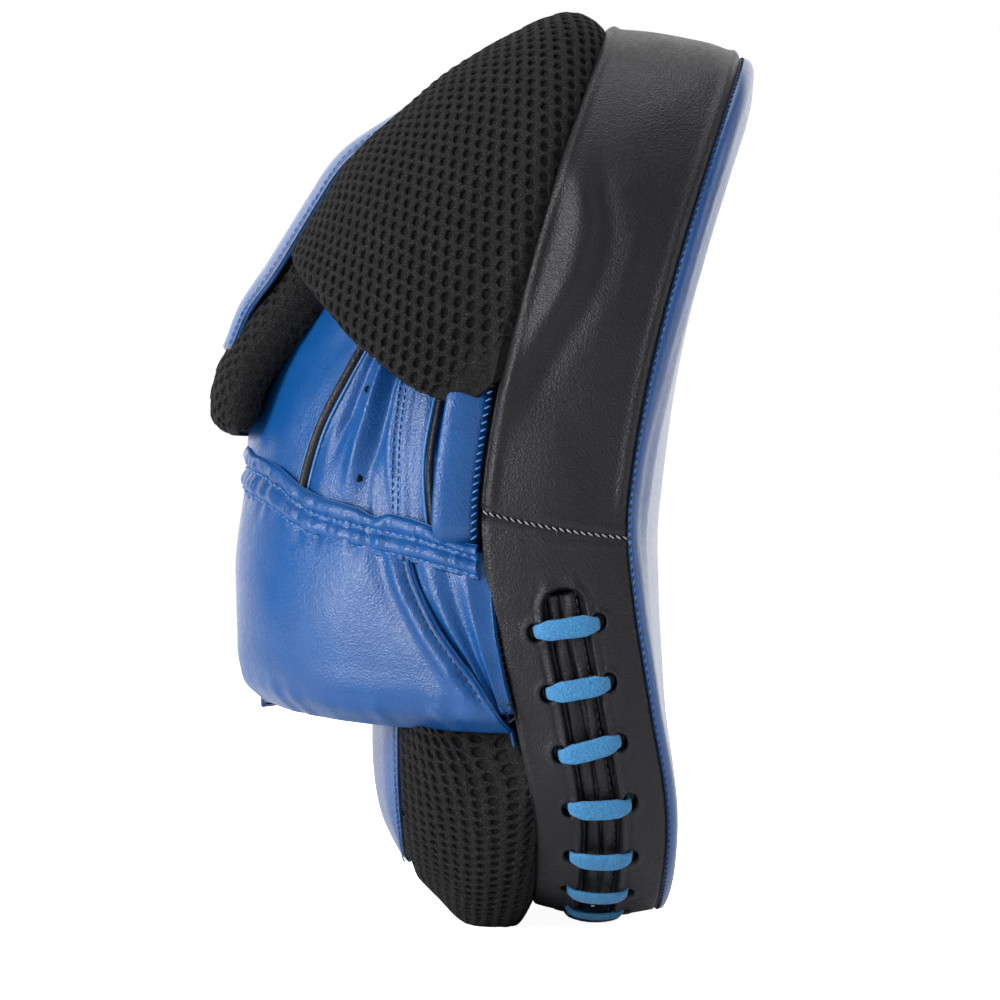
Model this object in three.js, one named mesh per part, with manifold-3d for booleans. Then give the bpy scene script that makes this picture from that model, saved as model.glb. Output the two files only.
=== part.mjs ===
// Curved focus mitt (hook-and-jab pad) worn on the hand.
// Frame: millimetres, +X out of the striking face, +Z towards the fingertips,
// -Y the thumb side; the origin is the bottom centre of the bounding box.
import * as THREE from 'three';
import Module from 'manifold-3d';

const wasm = await Module();
wasm.setup();

// ---------------------------------------------------------------- sizes, mm
const BASE_Z = 0.99;           // height of the resting plane in the design frame
const CENTRE_X = 5.92;         // design X is moved by this to centre the box
const PAD_HALF = 21;           // half of the side band's width
const BAND_THICK = 1.8;
const BAND_BULGE = 2.5;        // how far the band swells between its two seams
const SEAM_GAP = 0.7;          // clearance between sewn layers
const LEATHER = 1.6;
const MESH_THICK = 3.0;        // spacer mesh
const FOAM_INSET = 4.2;
const BACK_PUFF = 11;          // swell of the palm side between cuff and hood
const BACK_CALM = 2.5;         // swell under the hood and under the heel cushion
const BACK_INSET = 8;
const SEAM_Z = 121;            // height of the seam across the side band
const SLIT_HALF = 5.5;
const SLIT_TOP = 103.5;        // height of the arch of the laced slit
const EYE_D = 9.2;             // eyelet centre line either side of the slit
const LACE_W = 5.8;
const LACE_T = 1.4;
const LACE_TOP = 92.6;         // height of the highest crossing
const LACE_COUNT = 18;
const HOOD_PIVOT = [0, 158, 7];
const HOOD_W = 95;
const HOOD_CENTRE = 40;        // half width of the blue centre panel
const TONGUE_THICK = 13;
const HEEL_PIVOT = [-4, 112, 15];
const HEEL_W = 72;
const CUFF_BACK = -76.5;       // reference line of the cuff at its back
const FLAP_ROOT = 0.3;         // share of the way round the cuff where the flap is sewn
const FLAP_END = 0.68;

const BLUE = 0x3273be;
const BLUE_DARK = 0x1f559c;
const BLACK = 0x323037;
const MESH_BLACK = 0x2b2b2e;
const LACE_BLUE = 0x53a5de;
const FOAM = 0x3c3f45;
const LINING = 0x222226;

const group = new THREE.Group();
group.name = 'focus_mitt';

// ---------------------------------------------------------------- helpers
const V = (x, y, z) => new THREE.Vector3(x, y, z);
const mix = (a, b, t) => a + (b - a) * t;
const clamp = (t) => Math.min(1, Math.max(0, t));
const smooth = (a, b, x) => {
  const t = clamp((x - a) / (b - a));
  return t * t * (3 - 2 * t);
};

function table(points, x) {
  // straight-line look-up in a short list of [x, value] pairs
  if (x <= points[0][0]) return points[0][1];
  for (let i = 1; i < points.length; i += 1) {
    const [x1, v1] = points[i];
    const [x0, v0] = points[i - 1];
    if (x <= x1) return mix(v0, v1, (x - x0) / (x1 - x0));
  }
  return points[points.length - 1][1];
}

function body(vertices, faces) {
  // indexed geometry with its faces turned outwards
  let volume = 0;
  for (const [a, b, c] of faces) {
    volume += vertices[a].dot(V(0, 0, 0).crossVectors(vertices[b], vertices[c]));
  }
  const turned = volume < 0 ? faces.map(([a, b, c]) => [a, c, b]) : faces;
  const geometry = new THREE.BufferGeometry();
  const flat = vertices.flatMap((p) => [p.x, p.y, p.z]);
  geometry.setAttribute('position', new THREE.Float32BufferAttribute(flat, 3));
  geometry.setIndex(turned.flat());
  return geometry;
}

function loft(loops) {
  // closed body through loops of equal length, capped at both ends
  const n = loops[0].length;
  const vertices = loops.flat();
  const faces = [];
  for (let i = 0; i < loops.length - 1; i += 1) {
    for (let j = 0; j < n; j += 1) {
      const k = (j + 1) % n;
      faces.push([i * n + j, i * n + k, (i + 1) * n + k]);
      faces.push([i * n + j, (i + 1) * n + k, (i + 1) * n + j]);
    }
  }
  for (const [row, flip] of [[0, true], [loops.length - 1, false]]) {
    const centre = V(0, 0, 0);
    loops[row].forEach((p) => centre.addScaledVector(p, 1 / n));
    const hub = vertices.push(centre) - 1;
    for (let j = 0; j < n; j += 1) {
      const a = row * n + j;
      const b = row * n + ((j + 1) % n);
      faces.push(flip ? [hub, b, a] : [hub, a, b]);
    }
  }
  return body(vertices, faces);
}

function between(front, back) {
  // closed body between two grids of points with the same rows and columns
  const rows = front.length;
  const cols = front[0].length;
  const vertices = [...front.flat(), ...back.flat()];
  const shift = rows * cols;
  const at = (i, j) => i * cols + j;
  const faces = [];
  const quad = (a, b, c, d) => faces.push([a, b, c], [a, c, d]);
  for (let i = 0; i < rows - 1; i += 1) {
    for (let j = 0; j < cols - 1; j += 1) {
      quad(at(i, j), at(i, j + 1), at(i + 1, j + 1), at(i + 1, j));
      quad(shift + at(i, j), shift + at(i + 1, j), shift + at(i + 1, j + 1), shift + at(i, j + 1));
    }
  }
  for (let j = 0; j < cols - 1; j += 1) {
    quad(at(0, j), shift + at(0, j), shift + at(0, j + 1), at(0, j + 1));
    const r = rows - 1;
    quad(at(r, j + 1), shift + at(r, j + 1), shift + at(r, j), at(r, j));
  }
  for (let i = 0; i < rows - 1; i += 1) {
    quad(at(i + 1, 0), shift + at(i + 1, 0), shift + at(i, 0), at(i, 0));
    const c = cols - 1;
    quad(at(i, c), shift + at(i, c), shift + at(i + 1, c), at(i + 1, c));
  }
  return body(vertices, faces);
}

function grid(fn, nu, nv, offset, core) {
  // points of fn(u, v) moved along the surface normal, away from the core point
  const step = 1e-3;
  const rows = [];
  for (let i = 0; i <= nu; i += 1) {
    const row = [];
    for (let j = 0; j <= nv; j += 1) {
      const u = i / nu;
      const v = j / nv;
      const du = fn(Math.min(1, u + step), v).sub(fn(Math.max(0, u - step), v));
      const dv = fn(u, Math.min(1, v + step)).sub(fn(u, Math.max(0, v - step)));
      const normal = du.cross(dv).normalize();
      const point = fn(u, v);
      if (normal.dot(point.clone().sub(core)) < 0) normal.negate();
      row.push(point.addScaledVector(normal, offset));
    }
    rows.push(row);
  }
  return rows;
}

const sheet = (fn, nu, nv, top, bottom, core) => between(
  grid(fn, nu, nv, top, core), grid(fn, nu, nv, bottom, core));

function cord(points, radius, steps, sides) {
  // round piping along a smooth curve
  const curve = new THREE.CatmullRomCurve3(points);
  const frames = curve.computeFrenetFrames(steps, false);
  const loops = [];
  for (let i = 0; i <= steps; i += 1) {
    const centre = curve.getPointAt(i / steps);
    loops.push(Array.from({ length: sides }, (_, j) => {
      const angle = (j / sides) * 2 * Math.PI;
      return centre.clone()
        .addScaledVector(frames.normals[i], radius * Math.cos(angle))
        .addScaledVector(frames.binormals[i], radius * Math.sin(angle));
    }));
  }
  return loft(loops);
}

function solid(geometry) {
  return new wasm.Manifold(new wasm.Mesh({
    numProp: 3,
    vertProperties: new Float32Array(geometry.getAttribute('position').array),
    triVerts: new Uint32Array(geometry.getIndex().array),
  }));
}

function cut(geometry, tools) {
  let result = solid(geometry);
  tools.forEach((tool) => {
    result = result.subtract(solid(tool));
  });
  const mesh = result.getMesh();
  const out = new THREE.BufferGeometry();
  out.setAttribute('position', new THREE.Float32BufferAttribute(mesh.vertProperties, 3));
  out.setIndex(Array.from(mesh.triVerts));
  return out;
}

function add(name, geometry, color, roughness) {
  geometry.translate(CENTRE_X, 0, -BASE_Z);
  geometry.computeVertexNormals();
  const mesh = new THREE.Mesh(geometry, new THREE.MeshStandardMaterial({ color, roughness, metalness: 0 }));
  mesh.name = name;
  group.add(mesh);
}

// ---------------------------------------------------------------- curved pad
const spine = new THREE.SplineCurve([
  [28.4, 6], [29.5, 36], [24.5, 66], [18.5, 98], [16, 121], [18, 143],
  [23.5, 172], [31.5, 203], [41.5, 235], [53.4, 269.5],
].map(([x, z]) => new THREE.Vector2(x, z)));
const spineLength = spine.getLength();

function slab(y, s, d) {
  // y across, s up the curved pad, d towards the striking face
  // the pad is a little thinner at the heel and its top is cut slightly oblique
  const depth = d * table([[0, 0.9], [20, 0.925], [60, 0.935], [110, 1]], s);
  const along = s + 0.12 * smooth(215, 269, s) * d;
  const u = clamp(along / spineLength);
  const p = spine.getPointAt(u);
  const t = spine.getTangentAt(u);
  const beyond = along - u * spineLength;
  return V(p.x + t.x * beyond + t.y * depth, y, p.y + t.y * beyond - t.x * depth);
}

const half = [
  [0, 0], [20, 0.2], [38, 1.6], [58, 8], [75, 21], [86, 39.5], [91, 60], [94.3, 95],
  [96.6, 135], [97.4, 165], [96.6, 192], [92, 217.5], [81.5, 239.5], [65.5, 256],
  [45.5, 265], [24, 268.6], [0, 269.4],
];
const ring = [...half, ...half.slice(1, -1).reverse().map(([y, s]) => [-y, s])];
const outline = new THREE.CatmullRomCurve3(ring.map(([y, s]) => V(y, s, 0)), true);
const around = outline.getLength();

function edge(a, inset = 0) {
  // a: arc length from the bottom centre, positive towards +Y
  const u = (((a / around) % 1) + 1) % 1;
  const p = outline.getPointAt(u);
  const t = outline.getTangentAt(u);
  return [p.x - t.y * inset, p.y + t.x * inset, t.y, -t.x];
}

const bulge = (d) => BAND_BULGE * (1 - (d / PAD_HALF) ** 2);

function band(a, d, depth) {
  const [y, s, ny, ns] = edge(a);
  const h = bulge(d) - depth;
  return slab(y + ny * h, s + ns * h, d);
}

function arcAtHeight(z) {
  // arc length on the +Y side where the pad's edge reaches this height
  let low = 0;
  let high = around / 2;
  for (let i = 0; i < 30; i += 1) {
    const middle = (low + high) / 2;
    if (band(middle, 0, 0).z < z) low = middle;
    else high = middle;
  }
  return low;
}

// swell of a cover: height over the first millimetres, 15 mm in, and at the centre
const frontRoll = (s) => table([[60, 2.4], [121, 2.0], [200, 3.8]], s);
const frontMid = (s) => table([[60, 3.0], [121, 5.6], [200, 6.6]], s);
const frontCrown = (s) => table([[40, 6.4], [121, 11], [200, 8]], s);
const backPuff = (s) => BACK_CALM
  + (BACK_PUFF - BACK_CALM) * smooth(60, 100, s) * (1 - smooth(160, 205, s));

function swell(m, roll, mid, crown) {
  if (m > 0.75) {
    const e = (1 - m) / 0.25;
    const edgeShare = 1 - (1 - clamp(e / 0.3)) ** 2;
    return roll * Math.sqrt(edgeShare) + (mid - roll) * smooth(0, 1, e);
  }
  return mid + (crown - mid) * (1 - (m / 0.75) ** 2);
}

function disc(m, inset, height) {
  // one loop of a pillow: m = 1 at its edge, 0 at its centre
  return Array.from({ length: N_EDGE }, (_, j) => {
    const a = (j / N_EDGE) * around;
    const [y, s] = edge(a, inset + 15 * Math.min(1, (1 - m) / 0.25));
    const scale = Math.min(1, m / 0.75);
    const sc = mix(132, s, scale);
    return slab(y * scale, sc, height(sc, m));
  });
}

const pillow = (list) => loft(list.map(([m, inset, height]) => disc(m, inset, height)));

const DOME = [0.06, 0.3, 0.53, 0.75, 0.9, 0.975, 1];
const FLAT = [0.06, 0.53, 0.75, 1];
const N_EDGE = 36;
const dome = (inset, height) => DOME.map((m) => [m, inset, height]);
const flat = (inset, d) => FLAT.map((m) => [m, inset, () => d]);
const frontTop = (drop) => (s, m) => PAD_HALF + SEAM_GAP
  + swell(m, frontRoll(s) - drop * 0.8, frontMid(s) - drop, frontCrown(s) - drop);
const backTop = (drop) => (s, m) => -PAD_HALF - SEAM_GAP
  - swell(m, (backPuff(s) - drop) * 0.75, backPuff(s) - drop, backPuff(s) - drop);

add('strike_cover', pillow([
  ...dome(0, frontTop(0)), ...dome(LEATHER, frontTop(LEATHER)).reverse(),
]), BLUE, 0.42);
add('back_cover', pillow([
  ...dome(BACK_INSET, backTop(0)), ...dome(BACK_INSET + 1.2, backTop(1.2)).reverse(),
]), BLUE, 0.42);
add('foam_impact', pillow([
  ...dome(FOAM_INSET, frontTop(LEATHER + 1)), ...flat(FOAM_INSET, 7).reverse(),
]), FOAM, 0.9);
add('foam_mid', pillow([...flat(FOAM_INSET, 6.2), ...flat(FOAM_INSET, -6.2).reverse()]), FOAM, 0.9);
add('foam_back', pillow([
  ...flat(FOAM_INSET, -7), [1, FOAM_INSET, () => -20.6],
  ...dome(BACK_INSET + 3, backTop(2.2)).reverse(),
]), FOAM, 0.9);

// ---------------------------------------------------------------- side band
const seamArc = arcAtHeight(SEAM_Z);
const ACROSS = [-21, -7.5, 7.5, 21];

function bandPiece(arcs, across, top, bottom) {
  return loft(arcs.map((a) => [
    ...across.map((d) => band(a, d, top)),
    ...[...across].reverse().map((d) => band(a, d, bottom)),
  ]));
}
const spaced = (from, to, steps) => Array.from({ length: steps + 1 }, (_, i) => mix(from, to, i / steps));

function block(a, reach, low, high, top, bottom) {
  // a short block in band coordinates, used to punch the band
  return loft([top, bottom].map((depth) => [
    band(a - reach, low, depth), band(a + reach, low, depth),
    band(a + reach, high, depth), band(a - reach, high, depth),
  ]));
}

const slitArc = arcAtHeight(SLIT_TOP);
const laceArc = arcAtHeight(LACE_TOP);
const laceArcs = spaced(-laceArc, laceArc, LACE_COUNT - 1);
const quarter = laceArc / (LACE_COUNT - 1) / 2;
const stations = laceArcs.flatMap((a) => [a - quarter, a + quarter]);
const slitWidth = (a) => {
  const end = clamp((slitArc - Math.abs(a)) / SLIT_HALF);
  return Math.max(0.4, SLIT_HALF * Math.sqrt(end * (2 - end)));
};
const slitEnd = [0, 0.6, 2.2, 5.5].map((step) => slitArc - step);
const slitTool = loft([...slitEnd.map((a) => -a), ...stations, ...[...slitEnd].reverse()].map((a) => {
  const w = slitWidth(a);
  return [band(a, -w, -3), band(a, w, -3), band(a, w, 5), band(a, -w, 5)];
}));
const punches = laceArcs.flatMap((a) => [
  block(a, LACE_W / 2 + 0.8, -EYE_D - 1.5, -EYE_D + 1.7, -3, 5),
  block(a, LACE_W / 2 + 0.8, EYE_D - 1.7, EYE_D + 1.5, -3, 5),
]);
const bend = (slitArc + seamArc) / 2;
add('side_band_lower', cut(
  bandPiece([-seamArc, -bend, ...stations, bend, seamArc], ACROSS, 0, BAND_THICK),
  [slitTool, ...punches]), BLACK, 0.5);
add('side_band_upper',
  bandPiece(spaced(seamArc + 0.6, around - seamArc - 0.6, 36), ACROSS, 0, BAND_THICK), BLACK, 0.5);
add('lace_tongue', bandPiece(
  [-slitArc + 5, ...stations, slitArc - 5], [-4.6, 4.6], 0.6, 2.0), BLACK, 0.6);

// lace: over the slit from hole to hole, through the band, slanting back under the tongue
const laceWay = [[laceArcs[0] + 1, -4, 3.35]];
laceArcs.forEach((a, i) => {
  laceWay.push([a, -EYE_D + 1.1, 3.35], [a, -EYE_D, 2.2], [a, -EYE_D, 0.3], [a, -EYE_D + 1.1, -0.95]);
  laceWay.push([a, 0, -1.8]);
  laceWay.push([a, EYE_D - 1.1, -0.95], [a, EYE_D, 0.3], [a, EYE_D, 2.2], [a, EYE_D - 1.1, 3.35]);
  if (i < laceArcs.length - 1) {
    const next = laceArcs[i + 1];
    laceWay.push([mix(a, next, 0.25), 4.6, 3.35], [mix(a, next, 0.75), -4.6, 3.35]);
  }
});
laceWay.push([laceArcs[LACE_COUNT - 1] - 1, 4, 3.35]);
const lacePoints = laceWay.map(([a, d, depth]) => band(a, d, depth));
add('lace', loft(lacePoints.map((p, i) => {
  const before = lacePoints[Math.max(0, i - 1)];
  const after = lacePoints[Math.min(lacePoints.length - 1, i + 1)];
  const way = after.clone().sub(before).normalize();
  const [a, d, depth] = laceWay[i];
  const side = band(a + 0.5, d, depth).sub(band(a - 0.5, d, depth));
  side.addScaledVector(way, -side.dot(way)).normalize();
  const up = way.clone().cross(side);
  return [[-1, -1], [1, -1], [1, 1], [-1, 1]].map(([k, h]) => p.clone()
    .addScaledVector(side, (k * LACE_W) / 2)
    .addScaledVector(up, (h * LACE_T) / 2));
})), LACE_BLUE, 0.75);

// ---------------------------------------------------------------- fan surfaces
function archTable(width, reach, power) {
  // angle of a super-ellipse arch against its share of the arch's length
  const list = [[0, 0]];
  let last = [0, reach];
  let total = 0;
  for (let i = 1; i <= 240; i += 1) {
    const t = (i / 240) * (Math.PI / 2);
    const now = [width * Math.sin(t) ** (2 / power), reach * Math.cos(t) ** (2 / power)];
    total += Math.hypot(now[0] - last[0], now[1] - last[1]);
    list.push([total, t]);
    last = now;
  }
  return list.map(([length, t]) => [length / total, t]);
}

// arch across the pad at one angle round a pivot line: pivot is x, z and the set-back of its ends
function fan(pivot, width, power, radii, tau, angle, table90) {
  const t = table(table90, Math.abs(tau));
  const sin = Math.sin(t) ** (2 / power);
  const cos = Math.cos(t) ** (2 / power);
  const reach = table(radii, angle) * cos;
  const rad = (angle * Math.PI) / 180;
  return V(
    pivot[0] + reach * Math.cos(rad) - pivot[2] * Math.sin(t) ** 6,
    Math.sign(tau) * width * sin,
    pivot[1] + reach * Math.sin(rad),
  );
}

const HOOD_POWER = 2.4;
const hoodTable = archTable(HOOD_W, 100, HOOD_POWER);
const HOOD_RADII = [
  [74, 117], [78, 119.6], [84, 116.8], [88.6, 112.3], [94, 107.4], [98.4, 104], [108, 96.6],
  [122, 90.3], [132, 85.2], [147, 82.1], [163.5, 85.5], [175.5, 89], [184, 90.5],
];
const hoodPole = arcAtHeight(158);
const HOOD_START = 74;
const HOOD_END = 183;
const HOOD_CORE = V(-15, 0, 158);

function hood(k, tau) {
  const angle = mix(HOOD_START, HOOD_END, k);
  const point = fan(HOOD_PIVOT, HOOD_W, HOOD_POWER, HOOD_RADII, tau, angle, hoodTable);
  const start = fan(HOOD_PIVOT, HOOD_W, HOOD_POWER, HOOD_RADII, tau, HOOD_START, hoodTable);
  const [y, s] = edge(around / 2 - tau * (around / 2 - hoodPole));
  const root = slab(y, s, -PAD_HALF - 1);
  return point.addScaledVector(root.sub(start), (1 - k) ** 2);
}

const hoodSplit = (k) => mix(0.2, 0.262, smooth(0.1, 0.5, k));
const rimK = (tau) => table([[0.27, 0.66], [0.6, 0.735], [0.8, 0.8], [1, 0.95]], Math.abs(tau));
for (const [side, sign] of [['near', -1], ['far', 1]]) {
  const patch = (u, v) => {
    const tau = mix(hoodSplit(u * 0.66) + 0.006, 0.985, v);
    return hood(u * rimK(tau), sign * tau);
  };
  add(`hood_mesh_${side}`, sheet(patch, 10, 9, 0, -MESH_THICK, HOOD_CORE), MESH_BLACK, 0.85);
  const rim = Array.from({ length: 9 }, (_, i) => {
    const tau = mix(0.285, 0.955, i / 8);
    const start = hood(rimK(tau), sign * tau);
    const way = hood(rimK(tau) + 0.01, sign * tau).sub(start).normalize();
    return start.addScaledVector(way, 2);
  });
  add(`hood_rim_binding_${side}`, cord(rim, 1.3, 14, 5), MESH_BLACK, 0.85);
}
add('hood_centre_panel', sheet(
  (u, v) => hood(u * 0.93, mix(-1, 1, v) * (hoodSplit(u * 0.93) - 0.002)),
  14, 5, 0, -LEATHER, HOOD_CORE), BLUE, 0.42);
add('hood_lining', sheet(
  (u, v) => hood(mix(0.03, 0.63, u), mix(-0.9, 0.9, v)),
  9, 18, -MESH_THICK - 1.9, -MESH_THICK - 2.9, HOOD_CORE), LINING, 0.9);

// padded tongue under the free end of the centre panel, rounded over its tip
const tonguePoint = (k, v, depth) => grid(
  (u, w) => hood(k + (u - 0.5) * 0.02, (v + (w - 0.5) * 0.1) * 0.258), 2, 2, -depth, HOOD_CORE)[1][1];
const TONGUE = [
  [0.66, 2.4, TONGUE_THICK - 3], [0.74, 2.4, TONGUE_THICK], [0.83, 2.4, TONGUE_THICK],
  [0.94, 2.4, TONGUE_THICK], [0.96, 0.4, TONGUE_THICK], [0.99, 1.2, TONGUE_THICK - 1.5],
  [1.012, 5, TONGUE_THICK - 6],
];
add('hood_tongue_pad', loft(TONGUE.map(([k, top, foot]) => [
  ...[-1, -0.6, 0, 0.6, 1].map((v) => tonguePoint(k, v, top)),
  ...[1, 0.6, 0, -0.6, -1].map((v) => tonguePoint(k, v, foot)),
])), MESH_BLACK, 0.85);

// ---------------------------------------------------------------- heel cushion
const heelPower = (k) => mix(3.4, 2.1, smooth(0.15, 0.7, k));
const heelTable = archTable(HEEL_W, 85, 2.5);
const HEEL_RADII = [
  [180, 13], [200, 19], [220, 40], [236.6, 61], [249.9, 88], [257, 102], [262.5, 110.2],
  [266, 116.2], [270, 119.5], [274, 118.5], [277, 110],
];
const HEEL_START = 276.5;
const HEEL_END = 196;
const HEEL_CORE = V(-4, 0, 60);
const heelPole = arcAtHeight(100);

function heel(k, tau) {
  const angle = mix(HEEL_START, HEEL_END, k);
  const power = heelPower(k);
  const point = fan(HEEL_PIVOT, HEEL_W, power, HEEL_RADII, tau, angle, heelTable);
  const start = fan(HEEL_PIVOT, HEEL_W, power, HEEL_RADII, tau, HEEL_START, heelTable);
  const arc = Math.abs(tau) * heelPole;
  const inset = mix(0.6, 15, smooth(40, 74, edge(arc)[1]));
  const [y, s] = edge(Math.sign(tau) * arc, inset);
  const lift = (backPuff(s) + 1.2) * smooth(3, 8, inset);
  const root = slab(y, s, -PAD_HALF - 1 - lift);
  const moved = point.addScaledVector(root.sub(start), (1 - k) ** 2);
  moved.z = Math.max(moved.z, BASE_Z);
  return moved;
}

// the mesh runs round the blue centre panel: down both sides and under the sole
const panelRows = [
  [0.215, 0.27], [0.255, 0.37], [0.31, 0.43], [0.42, 0.46],
  [0.55, 0.465], [0.68, 0.465], [0.82, 0.465], [0.96, 0.465],
];
function heelPanel(grow, end) {
  const last = panelRows.length - 1;
  return (u, v) => {
    const k = table(panelRows.map((row, i) => [i / last, row[0] - grow + end * (i / last) ** 6]), u);
    const side = table(panelRows.map((row, i) => [i / last, row[1] + grow]), u);
    return heel(k, mix(-1, 1, v) * side);
  };
}
add('heel_centre_panel', sheet(heelPanel(0, 0), 7, 6, 0, -LEATHER, HEEL_CORE), BLUE, 0.42);
// the second and third rows bound the flat sole
const skinRows = [[0, 0.005], [1 / 12, 0.034], [2 / 12, 0.106], [3 / 12, 0.17], [1, 0.96]];
const heelSkin = (u, v) => heel(table(skinRows, u), mix(-0.96, 0.96, v));
add('heel_mesh', cut(
  sheet(heelSkin, 12, 20, 0, -MESH_THICK, HEEL_CORE),
  [sheet(heelPanel(0.01, 0.06), 7, 6, 4, -7, HEEL_CORE)]), MESH_BLACK, 0.85);

// ---------------------------------------------------------------- glove and cuff
const planHalf = [[0, 1], [0.15, 0.955], [0.34, 0.86], [0.6, 0.725], [0.83, 0.52], [0.967, 0.27]];
const plan = new THREE.CatmullRomCurve3([
  ...planHalf.map(([p, q]) => V(p, -q, 0)), V(1, 0, 0),
  ...[...planHalf].reverse().map(([p, q]) => V(p, q, 0)),
]);
const planAt = (tau) => plan.getPointAt(clamp((tau + 1) / 2));

function heightOf(list) {
  return (tau) => table(list, Math.abs(tau));
}
const hemZ = heightOf([[0, 143.5], [0.16, 141], [0.33, 136], [0.48, 128], [0.66, 123], [0.84, 119], [1, 113.5]]);
const footZ = heightOf([[0, 70.5], [0.22, 68.5], [0.45, 66], [0.75, 63.5], [1, 63]]);

const seamX = (z) => table([
  [40, 9.5], [59, 4.3], [64.5, 2.6], [79, -0.6], [95, -3.2], [113, -4.9], [126, -5.4], [158, -6],
], z);

function cuff(tau, z, out) {
  // out: outward offset from the reference wall, in plan
  const at = (t) => {
    const p = planAt(t);
    const root = seamX(z);
    return V(mix(root, CUFF_BACK, p.x), p.y * 93, z);
  };
  const ahead = at(Math.min(1, tau + 0.01)).sub(at(Math.max(-1, tau - 0.01))).normalize();
  return at(tau).add(V(-ahead.y, ahead.x, 0).multiplyScalar(out));
}

const OUT_PROFILE = [
  [0, 0], [0.06, 0.6], [0.2, 3.2], [0.42, 4.8], [0.7, 5], [0.86, 4.2], [0.95, 1.8], [1, -2.2],
];
const OUT_STEPS = [0, 0.06, 0.2, 0.42, 0.7, 0.86, 0.95, 1];

function cuffWall(steps, profile, tauFrom, tauTo, nTau, top, bottom) {
  // wall following a list of heights between the hem and the foot
  const make = (offset) => steps.map((h) => Array.from({ length: nTau + 1 }, (_, j) => {
    const tau = mix(tauFrom(h), tauTo(h), j / nTau);
    const z = mix(hemZ(tau), footZ(tau), h);
    return cuff(tau, z - offset[1] * h, table(profile, h) - offset[0]);
  }));
  return between(make(top), make(bottom));
}

// the gusset seam leans towards the band, so the gusset is a triangle
const gussetTau = (h) => mix(0.79, 0.985, smooth(0, 1, h));
add('cuff_outer', cuffWall(OUT_STEPS, OUT_PROFILE,
  (h) => -gussetTau(h), (h) => gussetTau(h), 22, [0, 0], [LEATHER, -LEATHER]), BLUE, 0.42);
for (const [side, sign] of [['near', -1], ['far', 1]]) {
  const low = (h) => (sign < 0 ? -0.998 : gussetTau(h) + 0.006);
  const high = (h) => (sign < 0 ? -gussetTau(h) - 0.006 : 0.998);
  add(`cuff_gusset_${side}`, cuffWall([0, 0.2, 0.42, 0.7, 0.9],
    [[0, 0], [0.2, 1.6], [0.42, 2.4], [0.7, 2], [0.9, 0.6]], low, high, 4, [0, 0], [LEATHER, 0]), BLUE, 0.42);
}
const INNER = 0.64;
const LINE_PROFILE = [[0, -3.2], [0.1, -5.4], [0.3, -8], [0.7, -8.6], [0.88, -7.6], [0.97, -5.6]];
add('cuff_lining', cuffWall([0.015, 0.1, 0.3, 0.7, 0.88, 0.96], LINE_PROFILE,
  () => -INNER, () => INNER, 18, [0, 0], [1.2, 0]), LINING, 0.9);
const FOAM_H = [0.05, 0.2, 0.42, 0.7, 0.84, 0.89];
const foamSide = (profile, shift) => FOAM_H.map((h) => Array.from({ length: 19 }, (_, j) => {
  const tau = mix(-INNER + 0.01, INNER - 0.01, j / 18);
  return cuff(tau, mix(hemZ(tau), footZ(tau), h), table(profile, h) + shift);
}));
add('cuff_foam', between(foamSide(OUT_PROFILE, -LEATHER - 1), foamSide(LINE_PROFILE, 0.6)), FOAM, 0.9);
add('cuff_hem', cuffWall([-0.05, 0.0, 0.06, 0.13], [[-0.05, 0.5], [0, 1], [0.06, 1.4], [0.13, 2.6]],
  () => -0.99, () => 0.99, 24, [-0.9, 0], [0.35, 0]), BLUE_DARK, 0.5);

// glove walls rise from the hem and lean in under the hood
const palmX = (z) => table([
  [105, -16.6], [126, -17.3], [150, -17.5], [164, -15.4], [180, -9.2], [205, -2.4],
], z);
const gloveX = (z) => table([
  [113, -77], [143, -77], [150, -73], [166, -62], [182, -52], [205, -40],
], z);
const gloveWidth = (z) => table([[113, 84], [150, 79], [205, 64]], z);
const GLOVE_TOP = 204;
const GLOVE_CORE = V(-30, 0, 150);

function glove(v, tau) {
  const p = planAt(tau);
  const z = mix(hemZ(tau) + 3.8, GLOVE_TOP, v);
  return V(mix(palmX(z), gloveX(z), p.x), p.y * gloveWidth(z), z);
}

const pipeTau = (v) => mix(0.6, 0.42, v);
add('glove_back_panel', sheet((u, v) => glove(u, mix(-1, 1, v) * (pipeTau(u) - 0.018)),
  8, 8, 0, -1.4, GLOVE_CORE), BLUE, 0.42);
for (const [side, sign] of [['near', -1], ['far', 1]]) {
  add(`glove_side_${side}`, sheet((u, v) => glove(u, sign * mix(pipeTau(u) + 0.018, 0.996, v)),
    8, 5, 0, -1.4, GLOVE_CORE), BLUE, 0.42);
  const line = (at) => Array.from({ length: 9 }, (_, i) => glove(i / 8, sign * at(i / 8)));
  add(`glove_piping_back_${side}`, cord(line(pipeTau), 1.0, 12, 5), BLACK, 0.5);
}

// hook-and-loop closure on the far side: the flap is sewn along its upright root line
function closure(from, to, low, high, nu, nv, top, bottom) {
  const make = (out) => Array.from({ length: nu + 1 }, (_, i) => Array.from({ length: nv + 1 },
    (__, j) => cuff(mix(from, to, i / nu), mix(low, high, j / nv), 5 + out)));
  return between(make(top), make(bottom));
}
add('loop_patch', closure(FLAP_ROOT + 0.08, FLAP_END - 0.04, 80, 110, 6, 1, 1.7, 0.5), BLACK, 0.95);
add('hook_patch', closure(FLAP_ROOT + 0.08, FLAP_END - 0.04, 80, 110, 6, 1, 3.3, 2.2), BLACK, 0.95);
add('closure_flap', closure(FLAP_ROOT, FLAP_END, 63.5, 118, 7, 3, 5.6, 3.8), BLUE_DARK, 0.42);

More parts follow.
